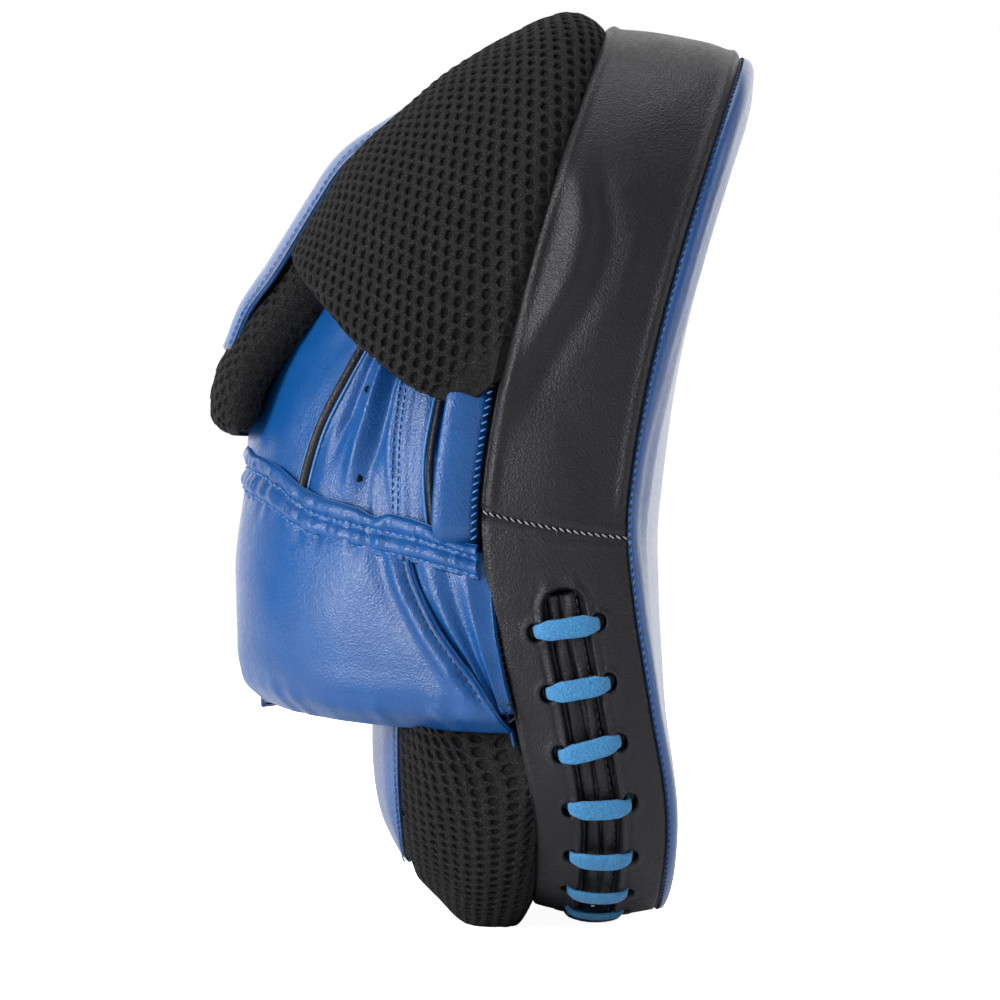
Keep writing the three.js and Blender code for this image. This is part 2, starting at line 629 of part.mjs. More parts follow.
// foam of the heel cushion, trimmed to sit on the palm side of the pad
const heelRows = (offset) => grid(
  (u, v) => heel(mix(0.07, 0.9, u), mix(-0.8, 0.8, v)), 11, 14, offset, HEEL_CORE);
const heelOut = heelRows(-MESH_THICK - 1.6);
const heelIn = heelOut.map((row) => row.map((p) => V(mix(p.x, 14, 0.92), p.y * 0.97, mix(p.z, 56, 0.3))));
const padClear = pillow([
  ...dome(BACK_INSET - 0.8, (s, m) => backTop(0)(s, m) - 1.2),
  [1, 0, () => -PAD_HALF - SEAM_GAP - 0.6], ...flat(0, 20).reverse(),
]);
add('heel_foam', cut(between(heelOut, heelIn), [padClear]), FOAM, 0.9);

export default group;
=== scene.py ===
"""A curved focus mitt: leather covers, spacer mesh, lace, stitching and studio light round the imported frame.
The surfaces repeat the formulas of the part's source in millimetres, at a finer step."""

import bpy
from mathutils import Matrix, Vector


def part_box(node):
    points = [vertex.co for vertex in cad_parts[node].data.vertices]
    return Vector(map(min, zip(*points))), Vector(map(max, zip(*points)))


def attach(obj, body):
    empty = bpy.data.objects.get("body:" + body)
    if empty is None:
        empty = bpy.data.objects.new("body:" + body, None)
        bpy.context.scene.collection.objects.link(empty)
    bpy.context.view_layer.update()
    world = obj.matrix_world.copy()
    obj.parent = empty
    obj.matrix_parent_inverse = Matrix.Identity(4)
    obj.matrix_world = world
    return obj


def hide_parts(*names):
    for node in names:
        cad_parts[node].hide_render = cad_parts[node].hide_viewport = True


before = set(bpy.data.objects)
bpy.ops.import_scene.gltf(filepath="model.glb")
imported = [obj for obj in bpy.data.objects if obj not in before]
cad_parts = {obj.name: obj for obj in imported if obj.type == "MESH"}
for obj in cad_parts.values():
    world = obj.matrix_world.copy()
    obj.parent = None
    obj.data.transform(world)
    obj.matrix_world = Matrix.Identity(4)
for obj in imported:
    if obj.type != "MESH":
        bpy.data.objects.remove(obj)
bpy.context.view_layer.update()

import math

import bpy
import numpy as np
from mathutils import Vector

MM = 0.001

# ---------------------------------------------------------------- camera, first of all
CAMERA_AT = (0.00592, -1.3, 0.12831)
LENS, SENSOR = 150.97, 36

camera_data = bpy.data.cameras.new("camera")
camera_data.lens = LENS
camera_data.sensor_width = SENSOR
camera = bpy.data.objects.new("camera", camera_data)
camera.location = CAMERA_AT
camera.rotation_euler = (math.radians(90), 0, 0)
bpy.context.scene.collection.objects.link(camera)
bpy.context.scene.camera = camera
bpy.context.scene.view_settings.view_transform = "Standard"


# ---------------------------------------------------------------- numbers
def mix(a, b, t):
    """From a at t = 0 to b at t = 1."""
    return a + (b - a) * t


def smooth(a, b, x):
    """From 0 at a to 1 at b, with level ends."""
    t = np.clip((np.asarray(x, float) - a) / (b - a), 0, 1)
    return t * t * (3 - 2 * t)


def soft(points, x):
    """Look-up in a short list of (x, value) pairs, through a smooth curve."""
    xs, values = (np.array(c, float) for c in zip(*points))
    slopes = np.gradient(values, xs)
    x = np.clip(np.asarray(x, float), xs[0], xs[-1])
    i = np.clip(np.searchsorted(xs, x) - 1, 0, len(xs) - 2)
    step = xs[i + 1] - xs[i]
    t = (x - xs[i]) / step
    rise = values[i] * (2 * t**3 - 3 * t**2 + 1) + values[i + 1] * (3 * t**2 - 2 * t**3)
    turn = slopes[i] * (t**3 - 2 * t**2 + t) + slopes[i + 1] * (t**3 - t**2)
    return rise + turn * step


def bump(x, centre, width):
    """A bell curve of height 1."""
    return np.exp(-(((np.asarray(x, float) - centre) / width) ** 2))


def noise(points, size, seed=0):
    """Smooth random height between -1 and 1, with one lump about every `size` millimetres."""
    where = np.asarray(points, float) / size + 11.3 * seed + 500.0
    low = np.floor(where).astype(np.int64)
    f = where - low
    f = f * f * (3 - 2 * f)
    total = np.zeros(where.shape[:-1])
    for corner in range(8):
        bit = [(corner >> k) & 1 for k in range(3)]
        cell = [low[..., k] + bit[k] for k in range(3)]
        n = (cell[0] * 73856093) ^ (cell[1] * 19349663) ^ (cell[2] * 83492791) ^ (seed * 2654435)
        n = (n * 1103515245 + 12345) & 0x7FFFFFFF
        n = ((n >> 8) * 22695477 + 1) & 0x7FFFFFFF
        weight = np.ones(where.shape[:-1])
        for k in range(3):
            weight = weight * (f[..., k] if bit[k] else 1 - f[..., k])
        total += weight * (n / 0x3FFFFFFF - 1)
    return total


def turn_in(steps):
    """Angles round a full turn, in even steps."""
    return np.linspace(0, 2 * math.pi, steps, endpoint=False)


def net(rows, columns, low=0.0):
    """A column of shares from 0 to 1 and a row of them from low to 1, for a grid of points."""
    return np.linspace(0, 1, rows)[:, None], np.linspace(low, 1, columns)[None]


def unit(v):
    return v / np.maximum(np.linalg.norm(v, axis=-1, keepdims=True), 1e-12)


def stack(x, y, z):
    return np.stack(np.broadcast_arrays(x, y, z), axis=-1).astype(float)


def run_along(points):
    """Length along a polyline, at each of its points."""
    return np.concatenate([[0], np.cumsum(np.linalg.norm(np.diff(points, axis=0), axis=1))])


def read_along(points, run, s):
    """Points of a polyline at the lengths s."""
    return np.stack([np.interp(s, run, c) for c in points.T], axis=-1)


class Path:
    """A smooth curve through points, read by its arc length. It is centripetal, or uniform with power 0."""

    def __init__(self, points, closed=False, power=0.5, fine=60):
        p = np.array(points, float)
        if closed:
            ring = np.concatenate([p[-1:], p, p[:2]])
        elif power:
            ring = np.concatenate([2 * p[:1] - p[1:2], p, 2 * p[-1:] - p[-2:-1]])
        else:
            ring = np.concatenate([p[:1], p, p[-1:]])
        steps = np.maximum(np.linalg.norm(np.diff(ring, axis=0), axis=1), 1e-9) ** power
        made = []
        t = np.arange(fine)[:, None] / fine
        for i in range(1, len(ring) - 2):
            a, b, c, d = ring[i - 1 : i + 3]
            u, v, w = steps[i - 1 : i + 2]
            m0 = ((b - a) / u - (c - a) / (u + v) + (c - b) / v) * v
            m1 = ((c - b) / v - (d - b) / (v + w) + (d - c) / w) * v
            made.append(b + m0 * t + (3 * (c - b) - 2 * m0 - m1) * t**2 + (2 * (b - c) + m0 + m1) * t**3)
        made.append(ring[-2][None])
        self.points = np.concatenate(made)
        self.run = run_along(self.points)
        self.length = self.run[-1]
        self.slope = unit(np.gradient(self.points, self.run, axis=0))

    def at(self, s):
        return read_along(self.points, self.run, s)

    def way(self, s):
        return read_along(self.slope, self.run, s)


# ---------------------------------------------------------------- the curved pad
PAD_HALF = 21.0             # half of the pad's thickness
FRONT_EDGE = 21.7           # where the covers meet the band, from the pad's middle
PAD_TOP = 269.0             # way up the pad, along its curve
PAD_MIDDLE = 132.0
BAND_BULGE = 2.5
BACK_PUFF = 11.0            # swell of the palm side beside the hand, and elsewhere
BACK_CALM = 2.5
BACK_INSET = 8.0
SEAM_Z = 121.0
SEAM_SLANT = 0.19           # the seam across the band is higher at the back edge
SLIT_HALF = 5.5
SLIT_TOP = 103.5
EYE_D = 9.2                 # the lace holes, from the middle of the band
LACE_TOP = 92.6
LACE_COUNT = 18
SIDES = (("near", -1), ("far", 1))
EDGE_SHARE = 0.75           # beyond this share of the way out, a cover bends to its edge
EDGE_DRAW = 15.0

spine = Path([
    (28.4, 6), (29.5, 36), (24.5, 66), (18.5, 98), (16, 121), (18, 143),
    (23.5, 172), (31.5, 203), (41.5, 235), (53.4, 269.5),
], power=0)


def slab(y, s, d):
    """y across, s up the curved pad, d towards the striking face."""
    y, s, d = np.broadcast_arrays(*(np.asarray(c, float) for c in (y, s, d)))
    depth = d * soft([(0, 0.9), (20, 0.925), (60, 0.935), (110, 1), (160, 1)], s)
    along = s + 0.12 * smooth(215, PAD_TOP, s) * d
    held = np.clip(along, 0, spine.length)
    p, t = spine.at(held), spine.way(held)
    beyond = along - held
    return stack(p[..., 0] + t[..., 0] * beyond + t[..., 1] * depth, y,
                 p[..., 1] + t[..., 1] * beyond - t[..., 0] * depth)


HALF_OUTLINE = [
    (0, 0), (20, 0.2), (38, 1.6), (58, 8), (75, 21), (86, 39.5), (91, 60), (94.3, 95),
    (96.6, 135), (97.4, 165), (96.6, 192), (92, 217.5), (81.5, 239.5), (65.5, 256),
    (45.5, 265), (24, 268.6), (0, 269.4),
]
outline = Path(HALF_OUTLINE + [(-y, s) for y, s in HALF_OUTLINE[-2:0:-1]], closed=True)
AROUND = outline.length


def edge(a, inset=0.0):
    """Outline at arc length a from the bottom centre: y, s and the outward normal."""
    a = np.mod(a, AROUND)
    p, t = outline.at(a), outline.way(a)
    return p[..., 0] - t[..., 1] * inset, p[..., 1] + t[..., 0] * inset, t[..., 1], -t[..., 0]


def band(a, d, depth=0.0):
    """A point of the side band: a round the pad, d across it, depth under the leather."""
    y, s, ny, ns = edge(a)
    h = BAND_BULGE * (1 - (np.asarray(d) / PAD_HALF) ** 2) - depth
    return slab(y + ny * h, s + ns * h, d)


def arc_at_height(z):
    arcs = np.linspace(0, AROUND / 2, 4000)
    return float(np.interp(z, band(arcs, 0)[:, 2], arcs))


SEAM_ARC = arc_at_height(SEAM_Z)
SLIT_ARC = arc_at_height(SLIT_TOP)
LACE_ARC = arc_at_height(LACE_TOP)
LACE_ARCS = np.linspace(-LACE_ARC, LACE_ARC, LACE_COUNT)


def front_swell(s, m):
    """Swell of the striking face: a rolled edge, a raised middle and its crown."""
    roll = soft([(60, 2.4), (121, 2.0), (200, 3.8)], s)
    middle = soft([(60, 3.0), (121, 5.6), (200, 6.6)], s)
    crown = soft([(40, 6.4), (121, 11), (200, 8)], s)
    e = np.clip((1 - m) / (1 - EDGE_SHARE), 0, 1)
    share = 1 - (1 - np.clip(e / 0.3, 0, 1)) ** 2
    rim = roll * np.sqrt(share) + (middle - roll) * smooth(0, 1, e)
    return np.where(m > EDGE_SHARE, rim, middle + (crown - middle) * (1 - (m / EDGE_SHARE) ** 2))


def back_puff(s):
    """Swell of the palm side, way up the pad."""
    return BACK_CALM + (BACK_PUFF - BACK_CALM) * smooth(60, 100, s) * (1 - smooth(160, 205, s))


def disc(m, a, inset, height):
    """A point of a pillow over the pad: m is 1 at its edge and 0 at its centre."""
    y, s, _, _ = edge(a, inset + EDGE_DRAW * np.minimum(1, (1 - m) / (1 - EDGE_SHARE)))
    scale = np.minimum(1, m / EDGE_SHARE)
    s = mix(PAD_MIDDLE, s, scale)
    return slab(y * scale, s, height(s, m))


def design_shift():
    """From the design's own origin to the frame's, read off the striking cover."""
    m, a = np.meshgrid(np.linspace(EDGE_SHARE, 1, 40), np.linspace(0, AROUND, 600))
    cover = disc(m, a, 0, lambda s, m: FRONT_EDGE + front_swell(s, m))
    low, high = (np.array(c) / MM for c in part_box("strike_cover"))
    return np.array([high[0] - cover[..., 0].max(), 0, high[2] - cover[..., 2].max()])


SHIFT = design_shift()


# ---------------------------------------------------------------- fans: hood and heel
class Fan:
    """Arches across the pad that turn round a pivot line, from start to end degrees."""

    def __init__(self, pivot, width, reach, powers, radii, start, end, root):
        self.pivot, self.width, self.powers = pivot, width, powers
        self.radii, self.start, self.end, self.root = radii, start, end, root
        base = powers(0.0) if root == "hood" else 2.5
        t = np.linspace(0, math.pi / 2, 241)
        x, y = width * np.sin(t) ** (2 / base), reach * np.cos(t) ** (2 / base)
        run = np.concatenate([[0], np.cumsum(np.hypot(np.diff(x), np.diff(y)))])
        self.share = (run / run[-1], t)

    def arch(self, tau, angle, power):
        t = np.interp(np.abs(tau), *self.share)
        sin = np.sin(t) ** (2 / power)
        cos = np.abs(np.cos(t)) ** (2 / power)
        reach = soft(self.radii, angle) * cos
        rad = np.radians(angle)
        return stack(self.pivot[0] + reach * np.cos(rad) - self.pivot[2] * np.sin(t) ** 6,
                     np.sign(tau) * self.width * sin,
                     self.pivot[1] + reach * np.sin(rad))

    def __call__(self, k, tau):
        k, tau = np.broadcast_arrays(np.asarray(k, float), np.asarray(tau, float))
        power = self.powers(k)
        point = self.arch(tau, mix(self.start, self.end, k), power)
        begin = self.arch(tau, np.full_like(k, self.start), power)
        if self.root == "hood":
            y, s, _, _ = edge(AROUND / 2 - tau * (AROUND / 2 - HOOD_POLE))
            return point + (slab(y, s, -PAD_HALF - 1) - begin) * ((1 - k) ** 2)[..., None]
        arc = np.abs(tau) * HEEL_POLE
        inset = mix(0.6, 15, smooth(40, 74, edge(arc)[1]))
        y, s, _, _ = edge(np.sign(tau) * arc, inset)
        lift = (back_puff(s) + 1.2) * smooth(3, 8, inset)
        moved = point + (slab(y, s, -PAD_HALF - 1 - lift) - begin) * ((1 - k) ** 2)[..., None]
        moved[..., 2] = np.maximum(moved[..., 2], -SHIFT[2])
        return moved


def fan_normal(fan, k, tau, core):
    """Unit normal of a fan, pointing away from its core."""
    e = 0.006
    k = np.clip(k, e, 1 - e)
    du, dv = fan(k + e, tau) - fan(k - e, tau), fan(k, tau + e) - fan(k, tau - e)
    n = unit(np.cross(du, dv))
    away = ((fan(k, tau) - core) * n).sum(-1, keepdims=True)
    return n * np.where(away < 0, -1, 1)


HOOD_POLE = arc_at_height(158)
HEEL_POLE = arc_at_height(100)
HOOD_CORE = np.array([-15, 0, 158])
HEEL_CORE = np.array([-4, 0, 60])
hood = Fan((0, 158, 7), 95, 100, lambda k: 2.4 + 0 * np.asarray(k), [
    (74, 117), (78, 119.6), (84, 116.8), (88.6, 112.3), (94, 107.4), (98.4, 104), (108, 96.6),
    (122, 90.3), (132, 85.2), (147, 82.1), (163.5, 85.5), (175.5, 89), (184, 90.5),
], 74, 183, "hood")
heel = Fan((-4, 112, 15), 72, 85, lambda k: mix(3.4, 2.1, smooth(0.15, 0.7, k)), [
    (180, 13), (200, 19), (220, 40), (236.6, 61), (249.9, 88), (257, 102), (262.5, 110.2),
    (266, 116.2), (270, 119.5), (274, 118.5), (277, 110),
], 276.5, 196, "heel")


def hood_split(k):
    return mix(0.2, 0.228, smooth(0.1, 0.5, k))


def rim_k(tau):
    return soft([(0.2, 0.65), (0.4, 0.675), (0.6, 0.71), (0.8, 0.77), (1, 0.93)], np.abs(tau))


# ---------------------------------------------------------------- cuff and glove
CUFF_BACK = -76.5
CUFF_HALF_WIDTH = 93
CUFF_CORE = np.array([-35, 0, 95])
CUFF_AROUND = 150           # rough half length of the cuff, which sizes its folds
GLOVE_TOP = 204
GLOVE_CORE = np.array([-30, 0, 150])
PLAN_HALF = [(0, 1), (0.15, 0.955), (0.34, 0.86), (0.6, 0.725), (0.83, 0.52), (0.967, 0.27)]
plan = Path([(p, -q) for p, q in PLAN_HALF] + [(1, 0)] + [(p, q) for p, q in PLAN_HALF[::-1]])


def plan_at(tau):
    """The cuff's plan, from the near seam at -1 to the far seam at 1."""
    return plan.at((np.clip(tau, -1, 1) + 1) / 2 * plan.length)


def hem_z(tau):
    return soft([(0, 143.5), (0.16, 141), (0.33, 136), (0.48, 128), (0.66, 123), (0.84, 119), (1, 113.5)],
                np.abs(tau))


def foot_z(tau):
    return soft([(0, 70.5), (0.22, 68.5), (0.45, 66), (0.75, 63.5), (1, 63)], np.abs(tau))


def seam_x(z):
    return soft([(40, 9.5), (59, 4.3), (64.5, 2.6), (79, -0.6), (95, -3.2), (113, -4.9), (126, -5.4),
                 (158, -6)], z)


def cuff(tau, z, out):
    """out is the outward offset from the reference wall, in plan."""
    tau, z, out = np.broadcast_arrays(*(np.asarray(c, float) for c in (tau, z, out)))

    def at(t):
        p = plan_at(t)
        return stack(mix(seam_x(z), CUFF_BACK, p[..., 0]), p[..., 1] * CUFF_HALF_WIDTH, z)

    ahead = unit(at(np.minimum(1, tau + 0.01)) - at(np.maximum(-1, tau - 0.01)))
    return at(tau) + stack(-ahead[..., 1], ahead[..., 0], 0) * out[..., None]


OUT_PROFILE = [(0, 0), (0.06, 0.6), (0.2, 3.2), (0.42, 4.8), (0.7, 5), (0.86, 4.2), (0.95, 1.8), (1, -2.2)]
LINING_PROFILE = [(0, -3.2), (0.1, -5.4), (0.3, -8), (0.7, -8.6), (0.88, -7.6), (0.97, -5.6), (1, -4.4)]


def gusset_tau(h):
    return mix(0.79, 0.985, smooth(0, 1, h))


def palm_x(z):
    return soft([(105, -16.6), (126, -17.3), (150, -17.5), (164, -15.4), (180, -9.2), (205, -2.4)], z)


def glove_x(z):
    return soft([(113, -77), (143, -77), (150, -76), (166, -70), (182, -63), (205, -50)], z)


def glove_width(z):
    return soft([(113, 84), (150, 79), (205, 64)], z)


def glove(v, tau):
    """A point of the glove: v from the hem to the fingertips, tau round the hand."""
    p = plan_at(tau)
    z = mix(hem_z(tau) + 3.8, GLOVE_TOP, v)
    return stack(mix(palm_x(z), glove_x(z), p[..., 0]), p[..., 1] * glove_width(z), z)


def seam_tau(v):
    """The glove's piped back seams, as sewn."""
    return soft([(0, 0.5), (0.25, 0.555), (0.5, 0.61), (0.75, 0.64), (1, 0.65)], v)


# ---------------------------------------------------------------- mesh building
MERGE_WITHIN = 2e-6         # metres
UNLIKE = np.array([0.31, 0.77, 0.56])   # a direction that no cord follows


class Shape:
    """Collects vertices in design millimetres, and faces with a material number."""

    def __init__(self):
        self.points, self.quads, self.numbers, self.count = [], [], [], 0

    def add(self, points, quads, number=0):
        points = np.asarray(points, float).reshape(-1, 3)
        self.points.append(points)
        self.link(np.asarray(quads, np.int64) + self.count, number)
        self.count += len(points)

    def link(self, quads, number=0):
        """Faces between points that are there already."""
        self.quads.append(np.asarray(quads, np.int64).reshape(-1, 4))
        self.numbers.append(np.full(len(self.quads[-1]), number))

    def grid(self, rows, number=0, wrap=False, flip=False):
        """Quads over a grid of points; wrap closes the columns."""
        r, c = rows.shape[:2]
        i, j = np.meshgrid(np.arange(r - 1), np.arange(c if wrap else c - 1), indexing="ij")
        k = (j + 1) % c
        quads = np.stack([i * c + j, i * c + k, (i + 1) * c + k, (i + 1) * c + j], axis=-1)
        self.add(rows, quads[..., ::-1] if flip else quads, number)

    def finish(self, name, materials, slot, replaces=(), body="mitt", fill=None):
        """Joins what was collected into one piece, tied to the frame."""
        points = (np.concatenate(self.points) + SHIFT) * MM
        quads = np.concatenate(self.quads)
        numbers = np.concatenate(self.numbers)
        key = np.round(points / MERGE_WITHIN).astype(np.int64)
        _, first, inverse = np.unique(key, axis=0, return_index=True, return_inverse=True)
        points, quads = points[first], inverse.reshape(-1)[quads]
        alike = np.stack([quads[:, i] == quads[:, (i + 1) % 4] for i in range(4)], axis=1)
        across = (quads[:, 0] == quads[:, 2]) | (quads[:, 1] == quads[:, 3])
        keep = (alike.sum(1) < 2) & ~across
        quads, numbers, alike = quads[keep], numbers[keep], alike[keep]
        used = ~np.concatenate([alike[:, -1:], alike[:, :-1]], axis=1)
        sizes = used.sum(1)
        mesh = bpy.data.meshes.new(name)
        mesh.vertices.add(len(points))
        mesh.vertices.foreach_set("co", points.astype(np.float32).ravel())
        mesh.loops.add(int(sizes.sum()))
        mesh.loops.foreach_set("vertex_index", quads[used].astype(np.int32))
        mesh.polygons.add(len(quads))
        mesh.polygons.foreach_set("loop_start", np.concatenate([[0], np.cumsum(sizes)[:-1]]).astype(np.int32))
        mesh.polygons.foreach_set("material_index", numbers.astype(np.int32))
        mesh.polygons.foreach_set("use_smooth", np.ones(len(quads), bool))
        mesh.update(calc_edges=True)
        mesh.validate()
        for material in materials:
            mesh.materials.append(material)
        piece = bpy.data.objects.new(name, mesh)
        bpy.context.scene.collection.objects.link(piece)
        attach(piece, body)
        if replaces:
            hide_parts(*replaces)


def facing(rows, core):
    """Unit normals of a grid of points, turned away from the core point."""
    n = unit(np.cross(np.gradient(rows, axis=0), np.gradient(rows, axis=1)))
    side = ((rows - core) * n).sum()
    return n if side > 0 else -n


def shell(shape, rows, thick, core, number=0):
    """A closed sheet: the outer grid, the same grid moved inwards, and a rounded edge between them."""
    n = facing(rows, core)
    back = rows - n * thick
    outward = np.zeros_like(rows)
    outward[0], outward[-1] = rows[0] - rows[1], rows[-1] - rows[-2]
    outward[:, 0] += unit(rows[:, 0] - rows[:, 1])
    outward[:, -1] += unit(rows[:, -1] - rows[:, -2])
    swing = unit(outward) * thick * 0.4
    border = [np.s_[0], np.s_[-1], np.s_[:, 0], np.s_[:, -1]]
    turned = ((np.cross(np.gradient(rows, axis=0), np.gradient(rows, axis=1)) * n).sum(-1) > 0).mean() > 0.5
    shape.grid(rows, number, flip=not turned)
    shape.grid(back, number, flip=turned)
    for i, line in enumerate(border):
        strip = np.stack([rows[line], rows[line] - n[line] * thick * 0.3 + swing[line],
                          back[line] + n[line] * thick * 0.3 + swing[line], back[line]])
        shape.grid(strip, number, flip=turned == (i in (1, 2)))


def closed_loft(shape, loops, number=0):
    """A closed body through periodic loops, drawn in to a point at both ends."""
    first, last = loops[:1].mean(axis=1, keepdims=True), loops[-1:].mean(axis=1, keepdims=True)
    n = loops.shape[1]
    rows = np.concatenate([np.repeat(first, n, 1), loops, np.repeat(last, n, 1)])
    quads = rows[:-1]
    volume = (np.cross(quads[:, :-1], quads[:, 1:]) * rows[1:, :-1]).sum()
    shape.grid(rows, number, wrap=True, flip=volume < 0)


def tube(shape, points, radius, sides=8, number=0):
    """A round cord through points."""
    way = unit(np.gradient(points, axis=0))
    side = unit(np.cross(way, np.cross(way, UNLIKE)))
    up = np.cross(side, way)
    angle = turn_in(sides)[None, :, None]
    ring = np.cos(angle) * side[:, None] + np.sin(angle) * up[:, None]
    closed_loft(shape, points[:, None] + radius * ring, number)


def resample(points, spacing):
    """Points at an equal spacing along a polyline."""
    run = run_along(points)
    s = np.linspace(0, run[-1], max(2, int(round(run[-1] / spacing)) + 1))
    return read_along(points, run, s)


def stitches(shape, a, b, out, radius, number=0):
    """One thread capsule from each point a to each point b, arched a little along `out`."""
    way = unit(b - a)
    side = unit(np.cross(way, out))
    out = np.cross(side, way)
    steps = np.array([0.0, 0.08, 0.3, 0.5, 0.7, 0.92, 1.0])
    wide = np.array([0.1, 0.7, 1.0, 1.0, 1.0, 0.7, 0.1])
    angle = turn_in(6)
    c, s = np.cos(angle), np.sin(angle)
    centre = a[:, None] + (b - a)[:, None] * steps[None, :, None]
    centre = centre + out[:, None] * (0.8 * radius * np.sin(math.pi * steps))[None, :, None]
    spread = side[:, None, None] * c[None, None, :, None] + out[:, None, None] * s[None, None, :, None]
    rings = centre[:, :, None] + radius * wide[None, :, None, None] * spread
    count, rows, cols = rings.shape[:3]
    i, j = np.meshgrid(np.arange(rows - 1), np.arange(cols), indexing="ij")
    k = (j + 1) % cols
    quads = np.stack([i * cols + k, i * cols + j, (i + 1) * cols + j, (i + 1) * cols + k], axis=-1)
    starts = (np.arange(count) * rows * cols)[:, None, None]
    shape.add(rings, quads.reshape(-1, 4)[None] + starts, number)


def seam(shape, points, out, pitch=2.6, length=1.9, radius=0.3, lean=0.0, sink=0.05, number=0):
    """A row of stitches along a polyline; lean turns each one off the line, in millimetres."""
    line = resample(points, pitch)
    if np.ndim(out) > 1:
        out = read_along(out, np.linspace(0, 1, len(out)), np.linspace(0, 1, len(line)))
    out = unit(np.broadcast_to(out, line.shape))
    way = unit(np.gradient(line, axis=0))
    side = unit(np.cross(way, out))
    half = way * length / 2 + side * lean / 2
    base = line - out * sink
    stitches(shape, base - half, base + half, out, radius, number)


# ---------------------------------------------------------------- materials
def linear(r, g, b):
    """A screen colour of 0 to 255 as linear light."""
    c = [v / 255 for v in (r, g, b)]
    return tuple(v / 12.92 if v <= 0.04045 else ((v + 0.055) / 1.055) ** 2.4 for v in c) + (1.0,)


class Nodes:
    """Short calls for building one material's node tree."""

    def __init__(self, name):
        self.material = bpy.data.materials.new(name)
        self.material.use_nodes = True
        self.tree = self.material.node_tree
        self.shader = self.tree.nodes["Principled BSDF"]
        self.where = self.tree.nodes.new("ShaderNodeTexCoord").outputs["Object"]

    def new(self, kind, values=(), links=()):
        made = self.tree.nodes.new(kind)
        for key, value in dict(values).items():
            if isinstance(key, str) and hasattr(made, key):
                setattr(made, key, value)
            else:
                made.inputs[key].default_value = value
        for key, source in dict(links).items():
            self.tree.links.new(source, made.inputs[key])
        return made

    def noise(self, size, detail=2.0, rough=0.5, stretch=None, twist=0.0):
        where = self.where
        if stretch:
            where = self.new("ShaderNodeMapping", {"Scale": stretch}, {"Vector": where}).outputs[0]
        values = {"Scale": 1 / size, "Detail": detail, "Roughness": rough, "Distortion": twist}
        return self.new("ShaderNodeTexNoise", values, {"Vector": where}).outputs["Fac"]

    def cells(self, size):
        made = self.new("ShaderNodeTexVoronoi", {"Scale": 1 / size}, {"Vector": self.where})
        return made.outputs["Distance"]

    def ramp(self, source, stops):
        made = self.new("ShaderNodeValToRGB", links={"Fac": source})
        elements = made.color_ramp.elements
        while len(elements) < len(stops):
            elements.new(0.5)
        for element, (position, color) in zip(elements, stops):
            element.position = position
            element.color = color
        return made.outputs["Color"]

    def grey(self, source, low, high, start, end):
        return self.ramp(source, [(start, (low, low, low, 1)), (end, (high, high, high, 1))])

    def relief(self, height, depth, after=None):
        links = {"Height": height}
        if after is not None:
            links["Normal"] = after
        return self.new("ShaderNodeBump", {"Strength": 1.0, "Distance": depth}, links).outputs["Normal"]

    def set(self, values):
        """Sets or links sockets of the material's shader."""
        for key, value in values.items():
            socket = self.shader.inputs[key]
            if isinstance(value, bpy.types.NodeSocket):
                self.tree.links.new(value, socket)
            else:
                socket.default_value = value


def leather(name, tones, rough, depth=0.00005, coat=0.0, sheen=0.0):
    """Leather from its dark, main and light tone: patches, speckle, pebble grain, pores and creases."""
    n = Nodes(name)
    dark, main, light = (linear(*tone) for tone in tones)
    patches = n.ramp(n.noise(0.03, 3, 0.55), [(0.25, dark), (0.5, main), (0.8, light)])
    speckle = n.grey(n.noise(0.0009, 3, 0.6), 0.72, 1.0, 0.3, 0.62)
    worn = n.new("ShaderNodeMixRGB", {"blend_type": "MULTIPLY", "Fac": 0.35},
                 {"Color1": patches, "Color2": speckle}).outputs[0]
    pebble = n.relief(n.cells(0.00062), depth)
    pores = n.relief(n.noise(0.00028, 2, 0.6), depth * 0.45, pebble)
    creases = n.relief(n.noise(0.006, 4, 0.62, twist=1.2), 0.00013, pores)
    n.set({"Base Color": worn, "Normal": creases, "Specular IOR Level": 0.5,
           "Roughness": n.grey(n.noise(0.0016, 3), rough - 0.05, rough + 0.09, 0.3, 0.7),
           "Sheen Weight": sheen, "Sheen Roughness": 0.4,
           "Coat Weight": coat, "Coat Roughness": 0.24, "Coat Normal": creases})
    return n.material


def cloth(name, stops, tone_noise, relief, rough, spec=0.2):
    """Cloth or thread: tone stops over one noise, and relief from another at a depth."""
    n = Nodes(name)
    tone = n.ramp(n.noise(*tone_noise), [(place, linear(*color)) for place, color in stops])
    relief_noise, depth = relief
    n.set({"Base Color": tone, "Roughness": rough, "Normal": n.relief(n.noise(*relief_noise), depth),
           "Specular IOR Level": spec})
    return n.material


def dark_cloth(name, low, high, size=0.0005):
    return cloth(name, [(0.35, low), (0.65, high)], (size, 3, 0.7), ((size, 2, 0.6), 0.0002), 0.9)


def thread(name, color, light):
    return cloth(name, [(0.35, color), (0.65, light)], (0.0004, 2, 0.6), ((0.0003, 1), 0.00006), 0.6, 0.5)


def woven_lace():
    n = Nodes("woven_lace")
    speck = n.noise(0.00045, 3, 0.65, stretch=(1, 1, 1.8))
    tone = n.ramp(speck, [(0.3, linear(36, 100, 156)), (0.5, linear(56, 134, 190)),
                          (0.7, linear(92, 168, 216))])
    knots = n.relief(n.cells(0.0008), 0.00018)
    n.set({"Base Color": tone, "Roughness": 0.72, "Normal": n.relief(n.noise(0.0004, 2), 0.00008, knots),
           "Sheen Weight": 0.2, "Sheen Roughness": 0.4})
    return n.material


